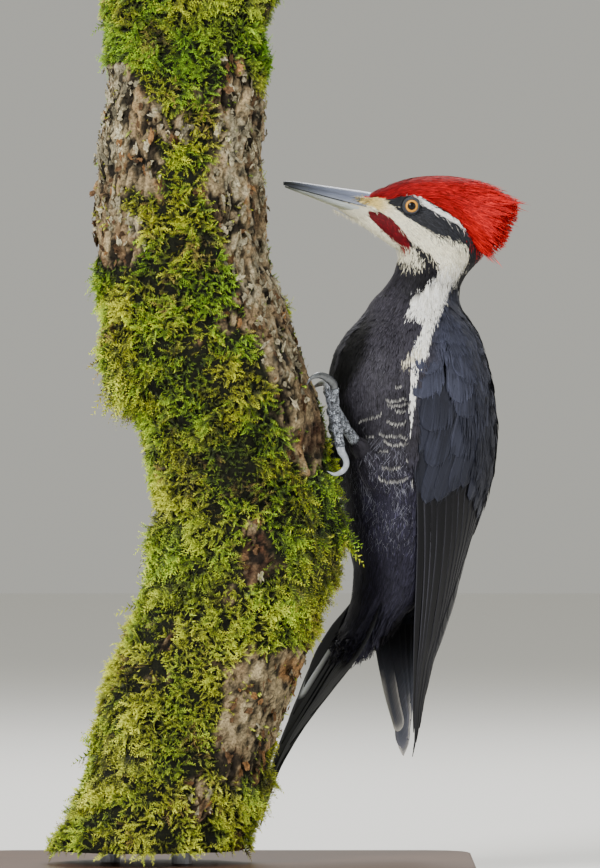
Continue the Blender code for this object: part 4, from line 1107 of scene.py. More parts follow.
# Below the first height the mantle's feathers lie like tiles, above the second they are fine. Each coat has
# its spacing, length and breadth at the two.
SCALY, HAIRY = 300, 325
for name, keep, locks, spacing, long, wide, lift, ragged, painted_root_shade in (
    ("coat_mantle", mantle, 18, (5.4, 3.0), (16.0, 12.0), (11.5, 6.0), 0.25, 0.04, 0.42),
    ("coat_shoulders", shoulder & ~mantle & ~tufts, 8, (2.4, 2.4), (12.0, 12.0), (4.6, 4.6), 0.25, 0.12, 0.6),
    ("coat_tufts", tufts & ~mantle, 8, (1.9, 1.9), (9.0, 9.0), (3.2, 3.2), 0.4, 0.14, 0.6),
    ("coat_far_flank", far & ~mantle, 10, (3.0, 3.0), (13.0, 13.0), (6.0, 6.0), 0.25, 0.12, 0.6),
):
    roots = scattered(over, over_faces, np.interp(z, (SCALY, HAIRY), spacing), keep)
    length = np.interp(roots[:, 2], (SCALY, HAIRY), long) * rng.uniform(0.85, 1.15, len(roots))
    breadth = np.interp(roots[:, 2], (SCALY, HAIRY), wide)
    path, normal = followed(over_tree, roots, coat_lie, length, np.linspace(0, 1, 5))
    if name in ("coat_shoulders", "coat_far_flank"):  # their upper edge sinks into the neck's coat
        path = path - normal * (3.4 * eased(312, 338, path[:, :, 2:3]))
    made = feathers(path, normal, length, breadth, 1.6, locks, lift, ragged, mantle_tint,
                    unwrapped(roots), 0.2, painted_root_shade)
    in_pieces(name, made)

# ------------------------------------------------------------------ tail
# Twelve stiff tail feathers in six pairs, the middle pair longest, pressed against the trunk as a prop.
# The fan: height, x of its middle line, and half its breadth.
TAIL = (
    (170, 92.0, 16.0), (162, 88.6, 20.0), (150, 83.0, 27.0), (133, 73.6, 32.0), (117, 62.6, 28.5),
    (99, 50.4, 21.5), (86, 42.4, 15.0), (69, 33.8, 9.6), (52, 28.4, 6.0), (32.5, 23.4, 2.2),
)
TAIL_ARCH, TAIL_AWAY = 5.0, 6.0  # how far the fan is arched, and how far its end leans to the stand's back
TAIL_ROOT = 168
# The pairs from the middle out: height of the tip, and breadth.
TAIL_PAIRS = ((32.5, 17.0), (46, 17.0), (63, 16.5), (80, 16.0), (97, 14.5), (113, 11.0))
TAIL_BLACK, TAIL_EDGE, TAIL_HIGHLIGHT = rgb("0a0b13"), rgb("262833"), rgb("f2f5ff")


def tail_at(height, across, lift):
    """Points of the tail's fan: across is left of its middle line, lift is towards the bird's back."""
    rows = smooth_rows(TAIL, height)
    forward = (BODY_X - rows[..., 1]) / math.cos(math.radians(BODY_TURN))
    lean = TAIL_AWAY * ((162 - height) / (162 - 32.5)).clip(0, 1) ** 2
    point = placed(forward + TAIL_ARCH * (across / 33) ** 2 - lift, across, height)
    point[..., 1] += lean
    return point


tail = Vanes(4)
for side in (1, -1):
    for k, (tip, breadth) in enumerate(TAIL_PAIRS):
        t = np.linspace(0, 1, 36) ** 0.85
        height = TAIL_ROOT + (tip - TAIL_ROOT) * t
        reach_side = smooth_rows(TAIL, height)[:, 2]
        centre = reach_side * (0.08 + 0.16 * k) * (1 - 0.25 * t)
        pointed = 0.42
        shape = (1 - ((t - (1 - pointed)) / pointed).clip(0, 1) ** 1.6).clip(0.02, 1) ** 0.8
        wide = np.minimum(breadth, reach_side * 1.3 + 2) * shape
        lead = np.minimum(centre + 0.5 * wide, reach_side + 0.2) * side
        trail = lead - wide * side
        out = (1.4 - 0.5 * k) * (1 - 0.5 * t[:, None]) + 0.5 * (VANE_COLUMNS - 0.5)
        # A painted highlight along the shaft of the far side's second outermost feather.
        shine = (TAIL_HIGHLIGHT, 0.38, 0.82) if (side, k) == (-1, 4) else None
        tail.add(tail_at, height, lead, trail, out, 0.5, wide, TAIL_BLACK, TAIL_EDGE, 0.9, shine)
made = tail.build("tail_feathers", vane_finish("feather_stiff", 0.38, 0.05))
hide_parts("tail")

# ------------------------------------------------------------------ bill
# A straight chisel bill of satin horn: slate above with a ridge and a groove along each side, paler below.
# Its halves meet on a straight line. Each half: x, height of its outer edge, and half its width.
UPPER_BILL = (
    (37.3, 412.9, 1.3), (40, 413.0, 1.9), (50, 412.0, 3.4), (62, 410.3, 4.8), (74, 408.6, 6.0),
    (86, 406.9, 7.0), (98, 404.4, 7.4),
)
LOWER_BILL = (
    (38.2, 409.4, 1.0), (41, 408.2, 1.7), (51, 404.2, 3.0), (63, 399.4, 4.3), (75, 395.0, 5.4),
    (86, 391.4, 6.3), (98, 387.4, 6.7),
)
GAPE, BILL_TIP = (97.0, 394.6), (37.3, 410.6)  # the meeting line's ends: x and height
SLATE, SLATE_DARK, SLATE_PALE = rgb("747b90"), rgb("25262b"), rgb("a9b0c0")
LOWER_GREY, LOWER_OLIVE = rgb("b4baba"), rgb("8f8f72")


def gape_line(x):
    """The height of the line on which the bill's halves meet."""
    return BILL_TIP[1] + (GAPE[1] - BILL_TIP[1]) * (x - BILL_TIP[0]) / (GAPE[0] - BILL_TIP[0])


def horn(name, rows, upper, sections=70, sides=36):
    """Half of the bill: a section of shoulders and ridge swept along it, closed at both ends."""
    x = rows[0][0] + (rows[-1][0] - rows[0][0]) * np.linspace(0, 1, sections) ** 1.25
    table = smooth_rows(rows, x)
    edge = gape_line(x)
    tall = (table[:, 1] - edge) if upper else (edge - table[:, 1])
    turn = np.linspace(0, math.pi, sides)
    across = np.sign(np.cos(turn)) * abs(np.cos(turn)) ** (0.95 if upper else 0.8)
    up = np.sin(turn) ** (1.15 if upper else 0.85)
    groove = np.exp(-(((up - 0.5) / 0.07) ** 2)) * (0.35 if upper else 0.12)
    y = HEAD_Y + table[:, 2][:, None] * across * (1 - groove * 0.25 * eased(40, 60, x)[:, None])
    z = edge[:, None] + (1 if upper else -1) * (0.12 + tall[:, None] * up)
    points = np.stack([np.repeat(x[:, None], sides, 1), y, z], -1).reshape(-1, 3)
    faces = tube_faces(sections, sides)[:, [0, 2, 1] if upper else [1, 2, 0]]
    # The colours: streaks along the horn, paler at the ridge and, as a painted highlight, at the meeting
    # edge, dark at the tip.
    height = np.tile(up, sections)
    streak = noise(points * (0.12, 1.0, 1.0), 0.7, 31)[:, None]
    if upper:
        # The paleness at the meeting edge is a painted highlight.
        pale = eased(0.25, 0.0, height) * 0.5 + eased(0.8, 1, height) * 0.3
        tint = SLATE * (1 + 0.12 * streak) + (SLATE_PALE - SLATE) * pale[:, None]
        dark = eased(58, 39, points[:, 0]) * 0.85 + np.exp(-(((height - 0.5) / 0.08) ** 2)) * 0.35
        dark = dark + eased(0.06, 0.0, height)
    else:
        olive = eased(0.35, 0.9, height)[:, None]
        tint = LOWER_GREY * (1 + 0.08 * streak) + (LOWER_OLIVE - LOWER_GREY) * olive
        dark = eased(52, 38, points[:, 0]) * 0.85 + eased(0.1, 0.0, height)
    tint = tint + (SLATE_DARK - tint) * np.clip(dark, 0, 1)[:, None]
    look, tree, shader = finish_of(f"{name}_horn", Roughness=0.34, Coat_Weight=0.25, Coat_Roughness=0.2)
    colour = node(tree, "Attribute", {"attribute_name": "tint"})
    tree.links.new(colour.outputs["Color"], shader.inputs["Base Color"])
    place = node(tree, "TexCoord")
    # Growth lines along the horn, about 0.3 mm apart.
    lines = node(tree, "Mapping", {"Scale": (0.05, 1.0, 1.0)}, {"Vector": place.outputs["Object"]})
    grain = node(tree, "TexNoise", {"Scale": 3000.0, "Detail": 3.0}, {"Vector": lines.outputs["Vector"]})
    bump = node(tree, "Bump", {"Strength": 0.25, "Distance": 0.0001}, {"Height": grain.outputs["Fac"]})
    tree.links.new(bump.outputs["Normal"], shader.inputs["Normal"])
    made = piece(name, points, np.concatenate([faces, end_faces(sections, sides)]), look, np.clip(tint, 0, 1))
    made.data.set_sharp_from_angle(angle=math.radians(60))
    return made


for name, rows, slot in (("upper", UPPER_BILL, "dark_horn"), ("lower", LOWER_BILL, "pale_horn")):
    made = horn(f"{name}_mandible", rows, name == "upper")
    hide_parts(f"bill_{name}")


def hairs(name, roots, heading, length, thin, colour, bend):
    """Single tapering bristles, each a narrow curved blade."""
    count = len(roots)
    heading = unit(heading)
    side = unit(np.cross(heading, (0.0, 0.0, 1.0) + 0.2 * rng.normal(0, 1, (count, 3))))
    t = np.array([0, 0.4, 0.75, 1.0])
    middle = roots[:, None] + (heading[:, None] * t[:, None] + bend * (t**2)[:, None]) * length[:, None, None]
    half = thin * np.array([1, 0.85, 0.5, 0.0])[:, None] * side[:, None]
    points = np.empty((count, LOCK_POINTS, 3))
    points[:, 0:6:2] = (middle - half)[:, :3]
    points[:, 1:6:2] = (middle + half)[:, :3]
    points[:, 6] = middle[:, 3]
    faces = (LOCK_FACES + LOCK_POINTS * np.arange(count)[:, None, None]).reshape(-1, 3)
    tint = np.broadcast_to(colour * rng.uniform(0.8, 1.1, (count, 1, 1)), points.shape).reshape(-1, 3)
    spot = np.stack([np.tile([-0.5, 0.5], 4)[:LOCK_POINTS], np.linspace(0, 1, LOCK_POINTS)], -1)
    uv = unwrapped(roots)[:, None] + PATCH * (spot - 0.5)
    made = piece(name, points.reshape(-1, 3), faces, feather_look, np.clip(tint, 0, 1), uv.reshape(-1, 2))


# A tuft of stiff ochre bristles lies forward over each nostril.
count = 420
sides = np.where(rng.random(count) < 0.5, 1.0, -1.0)
t = rng.random(count)
x = 97 - 16 * t
z = 402.6 - 5.0 * rng.random(count) - 3.5 * eased(88, 98, x) + 1.5 * t
roots = np.stack([x, HEAD_Y + sides * np.interp(x, (80, 97), (5.9, 8.6)), z], -1)
heading = np.stack([-np.ones(count), sides * 0.05, 0.16 + 0.1 * rng.normal(0, 1, count)], -1)
tone = eased(84, 95, roots[:, 0])[:, None, None]
hairs("bristles_nostril", roots, heading, rng.uniform(3.0, 6.0, count), 0.16,
      CREAM * (1 - tone) + OCHRE * tone, np.array((0, 0, -0.1)))
# Fine pale ones hang under the chin.
count = 260
t = rng.random(count)
x = 66 + 36 * t
z = np.interp(x, (66, 84, 96, 103), (396.8, 388.0, 380.0, 374.6))
roots = np.stack([x, HEAD_Y + rng.normal(0, 1.8, count), z], -1)
heading = np.stack([0.15 + 0.4 * rng.normal(0, 1, count), 0.3 * rng.normal(0, 1, count), -np.ones(count)], -1)
hairs("bristles_chin", roots, heading, rng.uniform(1.5, 4.2, count), 0.12, CREAM * 0.95,
      np.array((0.25, 0, 0.1)))

# ------------------------------------------------------------------ eyes
# A wet round eye: black pupil in a yellow-orange iris with a dark rim, under a clear bulge, in a bare dark
# ring of skin.
EYE_RADIUS, EYE_OUT = 5.6, 11.6  # the globe's radius, and how far its middle is from the head's
BULGE = 0.55  # how far the clear middle stands off the globe
PUPIL, IRIS = 2.45, 3.75  # radii
EYE_ROWS, EYE_SIDES = 46, 64
LID_FOLDS = ((4.15, 0.45, 0.12), (4.95, 0.6, -0.35))  # radius round the eye, thickness, how far it stands off
LID_ROWS, LID_SIDES = 96, 14
for word, side in (("left", -1), ("right", 1)):
    polar = np.linspace(0, 1, EYE_ROWS) ** 0.8 * math.radians(88)
    turn = np.arange(EYE_SIDES) * 2 * math.pi / EYE_SIDES
    wide = EYE_RADIUS * np.sin(polar)
    out = EYE_RADIUS * np.cos(polar) + BULGE * np.exp(-((wide / 3.4) ** 2))
    x = EYE_X + wide[:, None] * np.cos(turn)
    y = HEAD_Y + side * (EYE_OUT + np.repeat(out[:, None], EYE_SIDES, 1) - BULGE)
    z = EYE_Z + wide[:, None] * np.sin(turn)
    points = np.stack([x, y, z], -1).reshape(-1, 3)
    faces = tube_faces(EYE_ROWS, EYE_SIDES)[:, [0, 2, 1] if side < 0 else [1, 2, 0]]
    away = np.hypot(points[:, 0] - EYE_X, points[:, 2] - EYE_Z)
    rays = 0.5 + 0.5 * np.sin(np.arctan2(points[:, 2] - EYE_Z, points[:, 0] - EYE_X) * 31)
    share = ((away - PUPIL) / (IRIS - PUPIL)).clip(0, 1)
    iris = rgb("e9a03a") * (0.75 + 0.35 * np.sin(math.pi * share))[:, None] * (0.92 + 0.1 * rays)[:, None]
    tint = np.where((away < PUPIL)[:, None], rgb("050506"), iris)
    tint = tint * (1 - 0.85 * eased(IRIS - 0.35, IRIS + 0.1, away))[:, None]
    look, tree, shader = finish_of(f"eye_{word}_wet", Roughness=0.5, Specular_IOR_Level=0.05, Coat_Weight=0.7,
                                   Coat_Roughness=0.01, Coat_IOR=1.336)
    colour = node(tree, "Attribute", {"attribute_name": "tint"})
    tree.links.new(colour.outputs["Color"], shader.inputs["Base Color"])
    globe = piece(f"eyeball_{word}", points, faces, look, np.clip(tint, 0, 1))
    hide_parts(f"eye_{word}")
    # The bare ring of pebbled skin round the eye, in two soft folds.
    turn = (np.arange(LID_ROWS) * 2 * math.pi / LID_ROWS)[:, None]
    section = np.arange(LID_SIDES) * 2 * math.pi / LID_SIDES
    pebbles = 1 + 0.10 * np.sin(turn * 24)
    folds = []
    for radius, thick, lift in LID_FOLDS:
        wide = radius + thick * pebbles * np.cos(section)
        out = EYE_OUT + np.sqrt(EYE_RADIUS**2 - radius**2) + lift + thick * pebbles * np.sin(section)
        fold = np.stack([EYE_X + wide * np.cos(turn), HEAD_Y + side * out, EYE_Z + wide * np.sin(turn)], -1)
        folds.append(fold.reshape(-1, 3))
    points = np.concatenate(folds)
    one = tube_faces(LID_ROWS, LID_SIDES, joined=True)
    faces = np.concatenate([one, one + len(folds[0])])
    tint = (rgb("34373e") * (1 + 0.35 * noise(points, 0.7, 33))[:, None]).clip(0, 1)
    lid_look, tree, shader = finish_of(f"lid_{word}", Roughness=0.5)
    colour = node(tree, "Attribute", {"attribute_name": "tint"})
    tree.links.new(colour.outputs["Color"], shader.inputs["Base Color"])
    lids = piece(f"eyelids_{word}", points, faces if side > 0 else faces[:, ::-1], lid_look, tint)

# ------------------------------------------------------------------ feet and claws
# Blue-grey zygodactyl feet in small scales with dark seams, each with four polished, strongly hooked claws.
scale_look, tree, shader = finish_of("foot_scales", Roughness=0.42, Specular_IOR_Level=0.5)
place = node(tree, "TexCoord")
# Scales are about 1.1 mm across.
cells = node(tree, "TexVoronoi", {"feature": "DISTANCE_TO_EDGE", "Scale": 900.0},
             {"Vector": place.outputs["Object"]})
seam = node(tree, "MapRange", {1: 0.02, 2: 0.16, 3: 0.0, 4: 1.0}, {0: cells.outputs["Distance"]})
patches = node(tree, "TexNoise", {"Scale": 420.0, "Detail": 3.0}, {"Vector": place.outputs["Object"]})
mottle = node(tree, "MapRange", {1: 0.38, 2: 0.62, 3: 0.0, 4: 1.0}, {0: patches.outputs["Fac"]})
ramp = node(tree, "Mix", {"data_type": "RGBA", 6: (*rgb("565a62"), 1), 7: (*rgb("d2dae8"), 1)},
            {0: mottle.outputs[0]})
mixed = node(tree, "Mix", {"data_type": "RGBA", 6: (*rgb("1c1c20"), 1)},
             {0: seam.outputs[0], 7: ramp.outputs[2]})
tree.links.new(mixed.outputs[2], shader.inputs["Base Color"])
bump = node(tree, "Bump", {"Strength": 1.0, "Distance": 0.0006}, {"Height": seam.outputs[0]})
tree.links.new(bump.outputs["Normal"], shader.inputs["Normal"])
claw_looks = []
# One horn in two copies, shaded and lit: claws 1 and 4 are painted darker as shade, 2 and 3 paler as light.
for claw_name, low, high in (("claw_horn_shaded", "1a1c1f", "64686c"), ("claw_horn_lit", "5c6068", "c4cad4")):
    claw_look, tree, shader = finish_of(claw_name, Roughness=0.26, Coat_Weight=0.8, Coat_Roughness=0.06)
    place = node(tree, "TexCoord")
    # Streaks and clouds in the horn, about 3 mm across.
    grain = node(tree, "TexNoise", {"Scale": 330.0, "Detail": 4.0}, {"Vector": place.outputs["Object"]})
    ramp = node(tree, "Mix", {"data_type": "RGBA", 6: (*rgb(low), 1), 7: (*rgb(high), 1)},
                {0: grain.outputs["Fac"]})
    tree.links.new(ramp.outputs[2], shader.inputs["Base Color"])
    claw_looks.append(claw_look)


def rings_of(name):
    """Middles and radii of the rings that a claw's solid is lofted through, from its tip to its root."""
    points, faces = triangles(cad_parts[name].data)
    points, index = np.unique(np.round(points, 3), axis=0, return_inverse=True)
    faces = index.reshape(-1)[faces]
    links = [set() for _ in points]
    for corners in faces.tolist():
        for corner in corners:
            links[corner] |= set(corners)
    gap = np.linalg.norm(points[:, None] - points[None], axis=2) + 99 * np.eye(len(points))
    first = np.unravel_index(gap.argmin(), gap.shape)[0]  # the two nearest points are in the tip's ring
    ring = {int(first)} | set(np.flatnonzero(gap[first] < 0.8).tolist())
    seen, middles, radii = set(), [], []
    while ring:
        spot = points[list(ring)]
        middles.append(spot.mean(axis=0))
        radii.append(np.linalg.norm(spot - middles[-1], axis=1).mean())
        seen |= ring
        ring = set().union(*(links[i] for i in ring)) - seen
    return np.array(middles), np.array(radii)


def hooked(name, slim, sections=44, sides=22):
    """A claw: a narrow horn that hooks and tapers to a point, deeper than it is broad."""
    middles, radii = rings_of(name)
    along = lengths_along(middles)
    at = along[-1] * np.linspace(0, 1, sections) ** 1.3
    middle = smooth_rows(np.column_stack([along, middles, radii]), at)[:, 1:4]
    radius = np.interp(at / along[-1], (0, 0.12, 0.35, 0.65, 1), (0.05, 0.42, 0.86, 1.06, 1.12))
    radius = radius * radii.max() * 0.92 * np.interp(at / along[-1], (0.7, 1.0), (slim, 1.0))
    ahead = unit(np.gradient(middle, axis=0))
    flat = unit(np.cross(middles[0] - middles[3], middles[-1] - middles[3]))[None]
    deep_way = unit(np.cross(ahead, flat))
    flat = np.cross(deep_way, ahead)
    turn = (np.arange(sides) * 2 * math.pi / sides)[:, None]
    ring = 1.08 * deep_way[:, None] * np.cos(turn) + 0.8 * flat[:, None] * np.sin(turn)
    points = (middle[:, None] + radius[:, None, None] * ring).reshape(-1, 3)
    ends = end_faces(sections, sides)
    ends[: sides - 2] = ends[: sides - 2, [0, 2, 1]]
    faces = np.concatenate([tube_faces(sections, sides), ends])
    corner = points[faces]
    inside_out = (np.cross(corner[:, 0], corner[:, 1]) * corner[:, 2]).sum() < 0
    return points, faces[:, ::-1] if inside_out else faces


for word in ("left", "right"):
    points, faces = remeshed((f"foot_{word}",), 0.55, 4, 0.15)
    ripple = 0.34 * np.maximum(0, noise(points, 1.5, 34)) + 0.38 * noise(points, 4.2, 35)
    points = points + normals_of(points, faces) * ripple[:, None]
    foot = piece(f"foot_{word}_scaled", points, faces, scale_look)
    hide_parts(f"foot_{word}")
    for i in range(1, 5):
        points, faces = hooked(f"claw_{word}_{i}", slim=0.74 if i == 3 else 0.94)
        claw = piece(f"claw_{word}_{i}_horn", points, faces, claw_looks[0 if i in (1, 4) else 1])
        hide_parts(f"claw_{word}_{i}")

# Each thigh's short feathers end in a cuff over the top of the shank.
CUFF_FROM, CUFF_TO = (46.6, 24.0, 253.6), (69.8, 34.0, 276.0)  # forward, left and height of the shank's ends
for word, side in (("left", 1), ("right", -1)):
    top, foot = (placed(f, side * across, h) for f, across, h in (CUFF_FROM, CUFF_TO))
    along = unit(foot - top)
    count = 260
    aside = unit(np.cross(along, (0.0, 0.0, 1.0)))
    turn = (rng.random(count) * 2 * math.pi)[:, None]
    out = aside * np.cos(turn) + np.cross(aside, along) * np.sin(turn)
    start = rng.uniform(-9.0, 1.5, count)
    length = rng.uniform(6.0, 9.0, count)
    share = np.linspace(0, 1, 4)
    down = start[:, None] + length[:, None] * share
    path = top + out[:, None] * (6.2 - 3.0 * share[:, None] ** 1.5) + along * down[..., None]
    normal = np.repeat(out[:, None], 4, axis=1)
    made = feathers(path, normal, length, 3.4, 0.8, 8, 0.2, 0.12, marked, unwrapped(path[:, 0]), 0.2)
    in_pieces(f"coat_cuff_{word}", made)

# ------------------------------------------------------------------ perch: bark
# A cut length of a crooked living trunk: grey-brown flaking bark with fissures, crusts of pale lichen, and
# near-black painted shade under the moss. Its large form is the solid's; the relief is cut into it.
# The log's middle line: height and x. Its upper part stands further back.
LOG_AXIS = (
    (20, -41.5), (53, -27), (88, -18), (124, -7.5), (160, 6.2), (192, 16), (222, 17.2), (256, 9.2),
    (286, -0.2), (322, -11.5), (362, -21.5), (404, -23.2), (444, -22), (486, -20.7), (531, -14.5),
)
LOG_BACK_Y = -26.0
LOG_FOOT, LOG_TOP = 20.0, 531.0
BARK_ANGLES, BARK_LEVELS = 262, 376  # the grid of its surface, 1.3 mm between points
KNOWN_EVERY = 3  # the solid is felt at every third level
# Places of its front face with bare bark: x, height, how far each reaches sideways and up, and how bare.
BARE = (
    (18, 446, 13, 20, 1.5), (16, 412, 15, 24, 1.6), (16, 378, 14, 24, 1.6), (26, 346, 12, 20, 1.6),
    (36, 318, 11, 20, 1.6), (46, 294, 11, 18, 1.6), (54, 272, 16, 24, 1.8), (-62, 440, 15, 26, 1.0),
    (-66, 402, 12, 30, 0.95), (-56, 376, 14, 16, 1.1), (-42, 420, 12, 14, 0.8), (-16, 432, 16, 14, 0.9),
    (-64, 470, 10, 12, 1.5), (-2, 404, 10, 14, 0.7), (25, 190, 17, 20, 0.85), (6, 168, 10, 10, 0.7),
    (26, 108, 22, 30, 1.7), (46, 126, 12, 12, 1.6), (8, 82, 14, 14, 1.0), (-12, 52, 10, 14, 0.9),
    (-30, 128, 8, 12, 0.4), (-74, 428, 7, 14, 1.0), (10, 462, 9, 9, 0.8), (-40, 448, 10, 8, 0.7),
    (2, 330, 8, 14, 0.5),
)
# Lichen, likewise.
LICHEN = (
    (18, 440, 16, 30), (14, 390, 12, 40), (30, 345, 12, 34), (44, 300, 10, 24), (-66, 430, 14, 34),
    (-50, 388, 16, 16), (-62, 470, 14, 14), (-20, 440, 22, 20), (36, 470, 10, 12),
)
BARK_BROWN, BARK_GREY, BARK_DARK = rgb("74563a"), rgb("a89672"), rgb("0f0b08")
LICHEN_PALE, BARK_RED, BARK_TAN, UNDER_MOSS_SHADE = rgb("cfc4a2"), rgb("46281a"), rgb("b88650"), rgb("161808")
log_points, log_faces = triangles(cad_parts["perch_log"].data)
log_tree = BVHTree.FromPolygons([Vector(p) for p in log_points], log_faces.tolist())


def log_axis(height):
    """The middle of the log at a height: x and y."""
    x = np.interp(height, *np.array(LOG_AXIS, float).T)
    in_plane = BODY_Y + (x - BODY_X) * math.tan(math.radians(BODY_TURN))
    above = 1 / (1 + np.exp(-(height - 350) / 18))
    return x, in_plane * (1 - above) + LOG_BACK_Y * above


angles = np.arange(BARK_ANGLES) * 2 * math.pi / BARK_ANGLES
levels = np.linspace(LOG_FOOT, LOG_TOP, BARK_LEVELS)
axis_x, axis_y = log_axis(levels)
radius = np.empty((BARK_LEVELS, BARK_ANGLES))
known = np.arange(0, BARK_LEVELS, KNOWN_EVERY)
for i in known:
    start = Vector((axis_x[i], axis_y[i], min(max(levels[i], LOG_FOOT + 0.4), LOG_TOP - 0.4)))
    for j in range(0, BARK_ANGLES, 2):
        ray = Vector((math.cos(angles[j]), math.sin(angles[j]), 0))
        hit = log_tree.ray_cast(start + ray * 120, -ray)[3]
        radius[i, j] = 120 - (hit or 75)
    radius[i, 1::2] = (radius[i, 0::2] + np.roll(radius[i, 0::2], -1)) / 2
for j in range(BARK_ANGLES):
    radius[:, j] = np.interp(np.arange(BARK_LEVELS), known, radius[known, j])
for _ in range(22):  # smooths it, round the log and along it
    radius = (np.roll(radius, 1, 1) + 2 * radius + np.roll(radius, -1, 1)) / 4
    padded = np.pad(radius, ((1, 1), (0, 0)), "reflect", reflect_type="odd")
    radius = (padded[:-2] + 2 * radius + padded[2:]) / 4


def on_log(level, turn, out):
    """Points of the log and their angles. Level and turn count along its grid and may fall between lines."""
    a = np.floor(level).astype(int).clip(0, BARK_LEVELS - 2)
    s = level - np.floor(level).clip(0, BARK_LEVELS - 2)
    b = np.floor(turn).astype(int) % BARK_ANGLES
    t = turn - np.floor(turn)
    c = (b + 1) % BARK_ANGLES
    here = radius[a, b] * (1 - s) + radius[a + 1, b] * s
    beside = radius[a, c] * (1 - s) + radius[a + 1, c] * s
    away = here * (1 - t) + beside * t + out
    height = levels[0] + level * (levels[1] - levels[0])
    x, y = log_axis(height)
    angle = turn * 2 * math.pi / BARK_ANGLES
    return np.stack([x + away * np.cos(angle), y + away * np.sin(angle), height], axis=-1), angle


def blobs(points, angle, rows):
    """How far points lie in soft round places of the log's front face, each told by a row of a table."""
    facing = eased(0.45, -0.1, np.sin(angle))
    total = np.zeros(len(points))
    for x, z, wide, tall, *bare in rows:
        near = np.exp(-(((points[:, 0] - x) / wide) ** 2) - ((points[:, 2] - z) / tall) ** 2)
        total += near * (bare[0] if bare else 1.0) * facing
    return total


def moss_cover(points, angle):
    """Above 0 where moss grows."""
    patchy = 0.42 * noise(points, 26, 5) + 0.34 * noise(points, 11, 6) + 0.16 * noise(points, 5, 7)
    back = eased(-0.2, 0.5, np.sin(angle)) * 0.12
    return 0.5 - back + patchy - blobs(points, angle, BARE)


grid_level, grid_turn = np.divmod(np.arange(BARK_LEVELS * BARK_ANGLES), BARK_ANGLES)
base, angle = on_log(grid_level.astype(float), grid_turn.astype(float), 0.0)
cover = moss_cover(base, angle)
# Plates of bark about 9 by 30 mm: each grid point belongs to the nearest of scattered seeds, and the crack
# between two plates is where the nearest two are as near.
ROUND = 330.0  # the log's girth
PLATES, PLATE_SQUAT = 1100, 0.34  # how many, and a plate's breadth as a share of its height
seed_u = rng.random(PLATES) * ROUND
seed_v = rng.random(PLATES) * 520 * PLATE_SQUAT
plate_tree = KDTree(3 * PLATES)
for lap in (-1, 0, 1):
    for i in range(PLATES):
        plate_tree.insert(Vector((seed_u[i] + lap * ROUND, seed_v[i], 0)), i)
plate_tree.balance()
spot_u = angle / (2 * math.pi) % 1 * ROUND + 2.4 * noise(base, 6, 41) + 1.2 * noise(base, 2.6, 42)
spot_v = (base[:, 2] - 15) * PLATE_SQUAT + 1.8 * noise(base, 7, 43) + 1.2 * noise(base, 3, 44)
plate, crack_gap = np.empty(len(base), int), np.empty(len(base))
for i, (u, v) in enumerate(zip(spot_u, spot_v)):
    (_, nearest, near), (_, _, second) = plate_tree.find_n(Vector((u, v, 0)), 2)
    plate[i] = nearest
    crack_gap[i] = second - near
stands, tone, curl = rng.random(PLATES), rng.random(PLATES), rng.normal(0, 1, (PLATES, 2))
offset_u = (spot_u - seed_u[plate] + ROUND / 2) % ROUND - ROUND / 2
tilt = (offset_u * curl[plate, 0] + (spot_v - seed_v[plate]) * curl[plate, 1]) / 4.5
cracks = eased(1.3, 0.2, crack_gap) * eased(-0.45, 0.3, noise(base, 13, 51))
calm = np.clip(blobs(base, angle, ((26, 108, 26, 38), (-62, 440, 12, 30))), 0, 1)  # smoother, greyer bark
flakes = noise(base * (1, 1, 0.6), 3.4, 10) + 0.6 * noise(base, 1.7, 11)
crust = blobs(base, angle, LICHEN) * 0.75 + 0.5 * noise(base, 8, 12) - 0.34 + 0.35 * noise(base, 2.4, 13)
lichen = eased(0.12, 0.5, crust)
mossy = eased(-0.1, 0.16, cover)
fibres = noise(base * (1, 1, 0.22), 1.9, 47) + 0.6 * noise(base * (1, 1, 0.4), 1.3, 48)
relief = 1.8 * (stands[plate] - 0.5) + 0.6 * tilt - 2.4 * cracks + 0.8 * flakes + 1.0 * fibres
out = -2.2 + relief * (1 - 0.55 * calm) + 1.0 * noise(base, 14, 14)
out = out + 1.3 * lichen * noise(base, 2.6, 15).clip(-0.3, 1)
out = out * (1 - mossy) + mossy * (-3.2 + 1.4 * noise(base, 8, 16) + 0.8 * noise(base, 3, 17))
out = np.minimum(out, 0.9)
bark, _ = on_log(grid_level.astype(float), grid_turn.astype(float), out)
grey = 0.25 + 0.7 * tone[plate] + 0.3 * noise(base * (1, 1, 0.5), 6, 18) + 0.6 * calm
grey = np.clip(grey, 0, 1.15)[:, None]
tint = BARK_BROWN * (1 - grey) + BARK_GREY * grey
# Painted light: plates and fibres that stand out are painted brighter, over the bark's own mottle.
bright = 0.9 + 0.45 * noise(base, 2.2, 19) + 0.5 * (stands[plate] - 0.4) + 0.42 * fibres
tint = tint * bright[:, None].clip(0.06, 2.2)
tan = (eased(0.86, 0.95, tone[plate]) * eased(-0.4, 0.4, flakes) * 0.7)[:, None]
tint = tint * (1 - tan) + BARK_TAN * tan
pale = (lichen * eased(-0.5, 0.5, flakes) * 0.85)[:, None]
tint = tint * (1 - pale) + LICHEN_PALE * (0.85 + 0.2 * noise(base, 1.8, 45))[:, None] * pale
for colour, rows in ((BARK_RED, ((25, 190, 18, 22), (56, 262, 10, 12))), (BARK_TAN, ((46, 124, 10, 9),))):
    share = (eased(0.25, 0.7, blobs(base, angle, rows)) * (0.7 + 0.3 * noise(base, 3, 20)))[:, None]
    tint = tint * (1 - share) + colour * share
